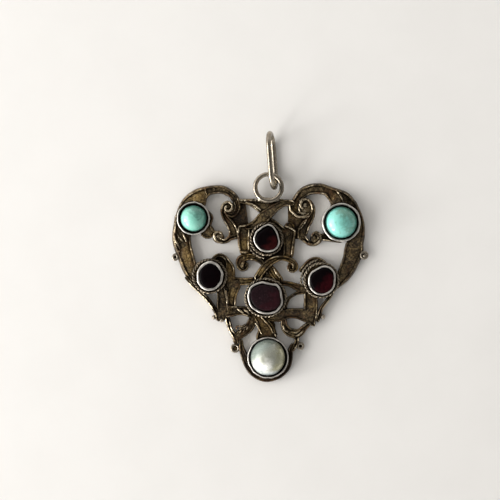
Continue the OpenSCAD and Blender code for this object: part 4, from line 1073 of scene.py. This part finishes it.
def build_bail():
    """The bail is a ring that is pulled long in the middle, then stood on edge."""
    middle = (BAIL_WIDTH - BAIL_WIRE) / 2
    run = BAIL_LENGTH - BAIL_WIDTH
    bpy.ops.mesh.primitive_torus_add(major_segments=98, minor_segments=24, major_radius=middle,
                                     minor_radius=BAIL_WIRE / 2)
    bail = named("wire_bail")
    for v in bail.data.vertices:
        v.co.y += math.copysign(run / 2, v.co.y)
        v.co += Vector((0, 0, v.co.z)) * uneven(v.co.x, v.co.y, 2.5, 0.06)
    stand = middle * math.cos(BAIL_LEAN) + BAIL_WIRE / 2
    turn = Matrix.Rotation(BAIL_TURN, 4, "Z") @ Matrix.Rotation(-BAIL_LEAN, 4, "Y") @ Matrix.Rotation(
        math.pi / 2, 4, "Y")
    bail.data.transform(Matrix.Translation((*BAIL_AT, stand)) @ turn)
    return bail


# Stones
def dome_steps(r, rise, count=14):
    """Steps of a dome with the given radius and rise."""
    ball_r = (r * r + rise * rise) / (2 * rise)
    low = math.asin((ball_r - rise) / ball_r)
    angles = [low + (math.pi / 2 - low) * (k / count) ** 0.9 for k in range(count + 1)]
    spots = [(ball_r * math.cos(a), ball_r * math.sin(a)) for a in angles]
    return [(a[0] - max(b[0], 0.02), b[1] - a[1]) for a, b in zip(spots, spots[1:])]


def build_cabochon(name, middle, r):
    steps = [(0, CABOCHON_EDGE - SEAT - STONE_GAP)] + dome_steps(r, CABOCHON_RISE)
    return raised(f"{name}_dome", circle(middle, r, 64), SEAT + STONE_GAP, steps)


def build_garnet(name, middle, corners):
    """A flat cut stone with sloped edges and a slightly uneven table."""
    steps = [(0, GARNET_TOP - GARNET_CROWN - SEAT - STONE_GAP), (0.3, 0.13), (0.5, 0.08)]
    stone = raised(f"{name}_cut", garnet_outline(middle, corners, 2), SEAT + STONE_GAP, steps)
    for v in stone.data.vertices:
        if v.co.z > GARNET_TOP - 0.2:
            v.co.z += uneven(v.co.x, v.co.y, 1.3, 0.07)
    finish_modifier(stone, "BEVEL", width=0.05, segments=2, limit_method="ANGLE",
                    angle_limit=math.radians(12))
    return stone


def build_pearl():
    """A slightly uneven ball, cut flat where it stands on the seat."""
    bpy.ops.mesh.primitive_uv_sphere_add(segments=72, ring_count=48, radius=1)
    pearl = named("pearl_drop")
    for v in pearl.data.vertices:
        swell = 1 + uneven(v.co.x, v.co.y, 0.7, 0.03, v.co.z * 1.4) - 0.01
        v.co = Vector([c * r for c, r in zip(v.co, PEARL_RADII)]) * swell
        v.co += Vector((*PEARL_AT, PEARL_MIDDLE))

    def seat():
        bpy.ops.mesh.bisect(plane_co=(0, 0, SEAT + STONE_GAP), plane_no=(0, 0, 1), use_fill=True,
                            clear_inner=True)
    return edit(pearl, seat)


# Silvers: the tone, the tone of the painted shade in corners, and the size of the grain.
RAW_SILVER, ROPE_SHADE = (0.4, 0.35, 0.28), (0.01, 0.007, 0.004)
silver = cast_silver()
cup_silver = bright_silver("cup silver", (0.82, 0.78, 0.72), (0.02, 0.016, 0.012), shade_from=0.45, dull=0.12)
wire_silver = bright_silver("wire silver", RAW_SILVER, (0.04, 0.03, 0.02), 0.6, scratches=0.15, dull=-0.03)
edge_silver = bright_silver("edge silver", RAW_SILVER, (0.02, 0.015, 0.01), 0.4, scratches=0.3)
rope_silver = bright_silver("twisted wire silver", (0.34, 0.285, 0.21), ROPE_SHADE, 0.3, shade_from=0.66)
dull_rope_silver = bright_silver("tarnished wire silver", (0.25, 0.205, 0.15), ROPE_SHADE, 0.3, shade_from=0.55)

settle(build_frame(), "heart", silver, "heart_frame")
settle(build_cups(), "heart", cup_silver, smooth=50)
settle(build_collars("twisted_wire", ("garnet_right", "garnet_centre"), ((10.25, -4.6), 4, (100, 196))),
       "heart", rope_silver, smooth=60)
settle(build_collars("tarnished_twisted_wire", ("garnet_top", "garnet_left"), ((-0.7, 3.5), 3.7, (190, 262))),
       "heart", dull_rope_silver, smooth=60)
settle(build_edge_drops(), "heart", edge_silver, smooth=60)
settle(build_pits(), "heart", silver)
settle(build_jump_ring(), "heart", wire_silver, smooth=60)
settle(build_bail(), "bail", wire_silver, "bail", smooth=60)

# Turquoises: the colour of the lit side and the deep colour of the painted shade, which the streaks also
# take, the veins' colour and start, and the strength of the streaks.
TURQUOISES = {
    "turquoise_left": (
        "left turquoise", (0.23, 0.58, 0.47), (0.1, 0.29, 0.23), (0.12, 0.24, 0.2), 9.4, 0.2),
    "turquoise_right": (
        "right turquoise", (0.22, 0.6, 0.53), (0.13, 0.34, 0.26), (0.1, 0.09, 0.06), 8.6, 0.55),
}
for name, (surface, light, deep, vein, vein_from, streaks) in TURQUOISES.items():
    middle, r, _, _ = CABOCHONS[name]
    settle(build_cabochon(name, middle, r), "heart",
           turquoise(surface, light, deep, vein, vein_from, middle, streaks), name, 60)

# Garnets: the slot, the dark colour and the painted glow, where this starts and ends, the shine and the
# specks.
NEAR_BLACK = (0.003, 0.0018, 0.0022)
GARNET_COLOURS = {
    "garnet_top": ("garnet_stone", NEAR_BLACK, (0.035, 0.006, 0.006), -0.2, 3, 0.04, 0.0),
    "garnet_left": ("garnet_stone", NEAR_BLACK, (0.004, 0.0015, 0.002), -0.2, 3, 0.04, 0.0),
    "garnet_right": ("garnet_stone", NEAR_BLACK, (0.035, 0.004, 0.006), -0.2, 3, 0.04, 0.0),
    "garnet_centre": (
        "pale_garnet_stone", (0.0145, 0.0075, 0.0092), (0.027, 0.0078, 0.0105), -1, 2, 0.09, 0.7),
}
for name, (slot, dark, glow, lit_from, lit_to, shine, specks) in GARNET_COLOURS.items():
    middle, corners = GARNETS[name]
    along = middle[0] - 0.8 * middle[1]
    stone = garnet(f"{name} stone", dark, glow, along + lit_from, along + lit_to, shine, specks)
    settle(build_garnet(name, middle, corners), "heart", stone, name, 25)
settle(build_pearl(), "heart", pearl_skin(), "pearl", 60)

# Floor, light and camera
bpy.ops.mesh.primitive_plane_add(size=1.6)
floor = named("paper_floor")
floor.data.materials.append(paper())


def window(name, place, size, power, colour):
    """A lit window pane that faces the heart."""
    lamp = bpy.data.lights.new(name, "AREA")
    lamp.shape = "RECTANGLE"
    lamp.size, lamp.size_y = size
    lamp.energy = power
    lamp.color = colour
    obj = bpy.data.objects.new(name, lamp)
    bpy.context.scene.collection.objects.link(obj)
    obj.location = place
    obj.rotation_euler = (-Vector(place)).to_track_quat("-Z", "Y").to_euler()
    return obj


window("window_light", (-0.43, -0.1, 0.2), (0.55, 0.32), 2.1, (1, 0.985, 0.965))
window("left_pane", (-0.48, -0.11, 0.1), (0.11, 0.12), 0.9, (1, 0.99, 0.98))
window("right_pane", (-0.35, -0.35, 0.1), (0.11, 0.12), 0.9, (1, 0.99, 0.98))


def room_light():
    """The walls round the table are light, brightest on the window's side, and the ceiling is dim."""
    world = bpy.data.worlds.new("room")
    bpy.context.scene.world = world
    world.use_nodes = True
    nodes, links = world.node_tree.nodes, world.node_tree.links
    way = nodes.new("ShaderNodeSeparateXYZ")
    links.new(nodes.new("ShaderNodeTexCoord").outputs["Generated"], way.inputs[0])
    rise, side = nodes.new("ShaderNodeMapRange"), nodes.new("ShaderNodeMapRange")
    total = nodes.new("ShaderNodeMath")
    total.operation = "MULTIPLY"
    for node, axis, values in ((rise, "Z", (0.3, 0.95, 1.22, 0.13)), (side, "X", (-1, 1, 1.7, 0.34))):
        links.new(way.outputs[axis], node.inputs["Value"])
        for key, value in zip(("From Min", "From Max", "To Min", "To Max"), values):
            node.inputs[key].default_value = value
    links.new(rise.outputs[0], total.inputs[0])
    links.new(side.outputs[0], total.inputs[1])
    background = nodes["Background"]
    background.inputs["Color"].default_value = (1, 0.98, 0.95, 1)
    links.new(total.outputs[0], background.inputs["Strength"])


room_light()

# The camera looks straight down, as in the photo.
camera = bpy.data.objects.new("camera", bpy.data.cameras.new("camera"))
bpy.context.scene.collection.objects.link(camera)
camera.location = (-0.004, 0.0014, 0.3015)
camera.data.lens = 108
camera.data.sensor_width = 36
camera.data.clip_start = 0.01
bpy.context.scene.camera = camera
bpy.context.scene.view_settings.view_transform = "Standard"
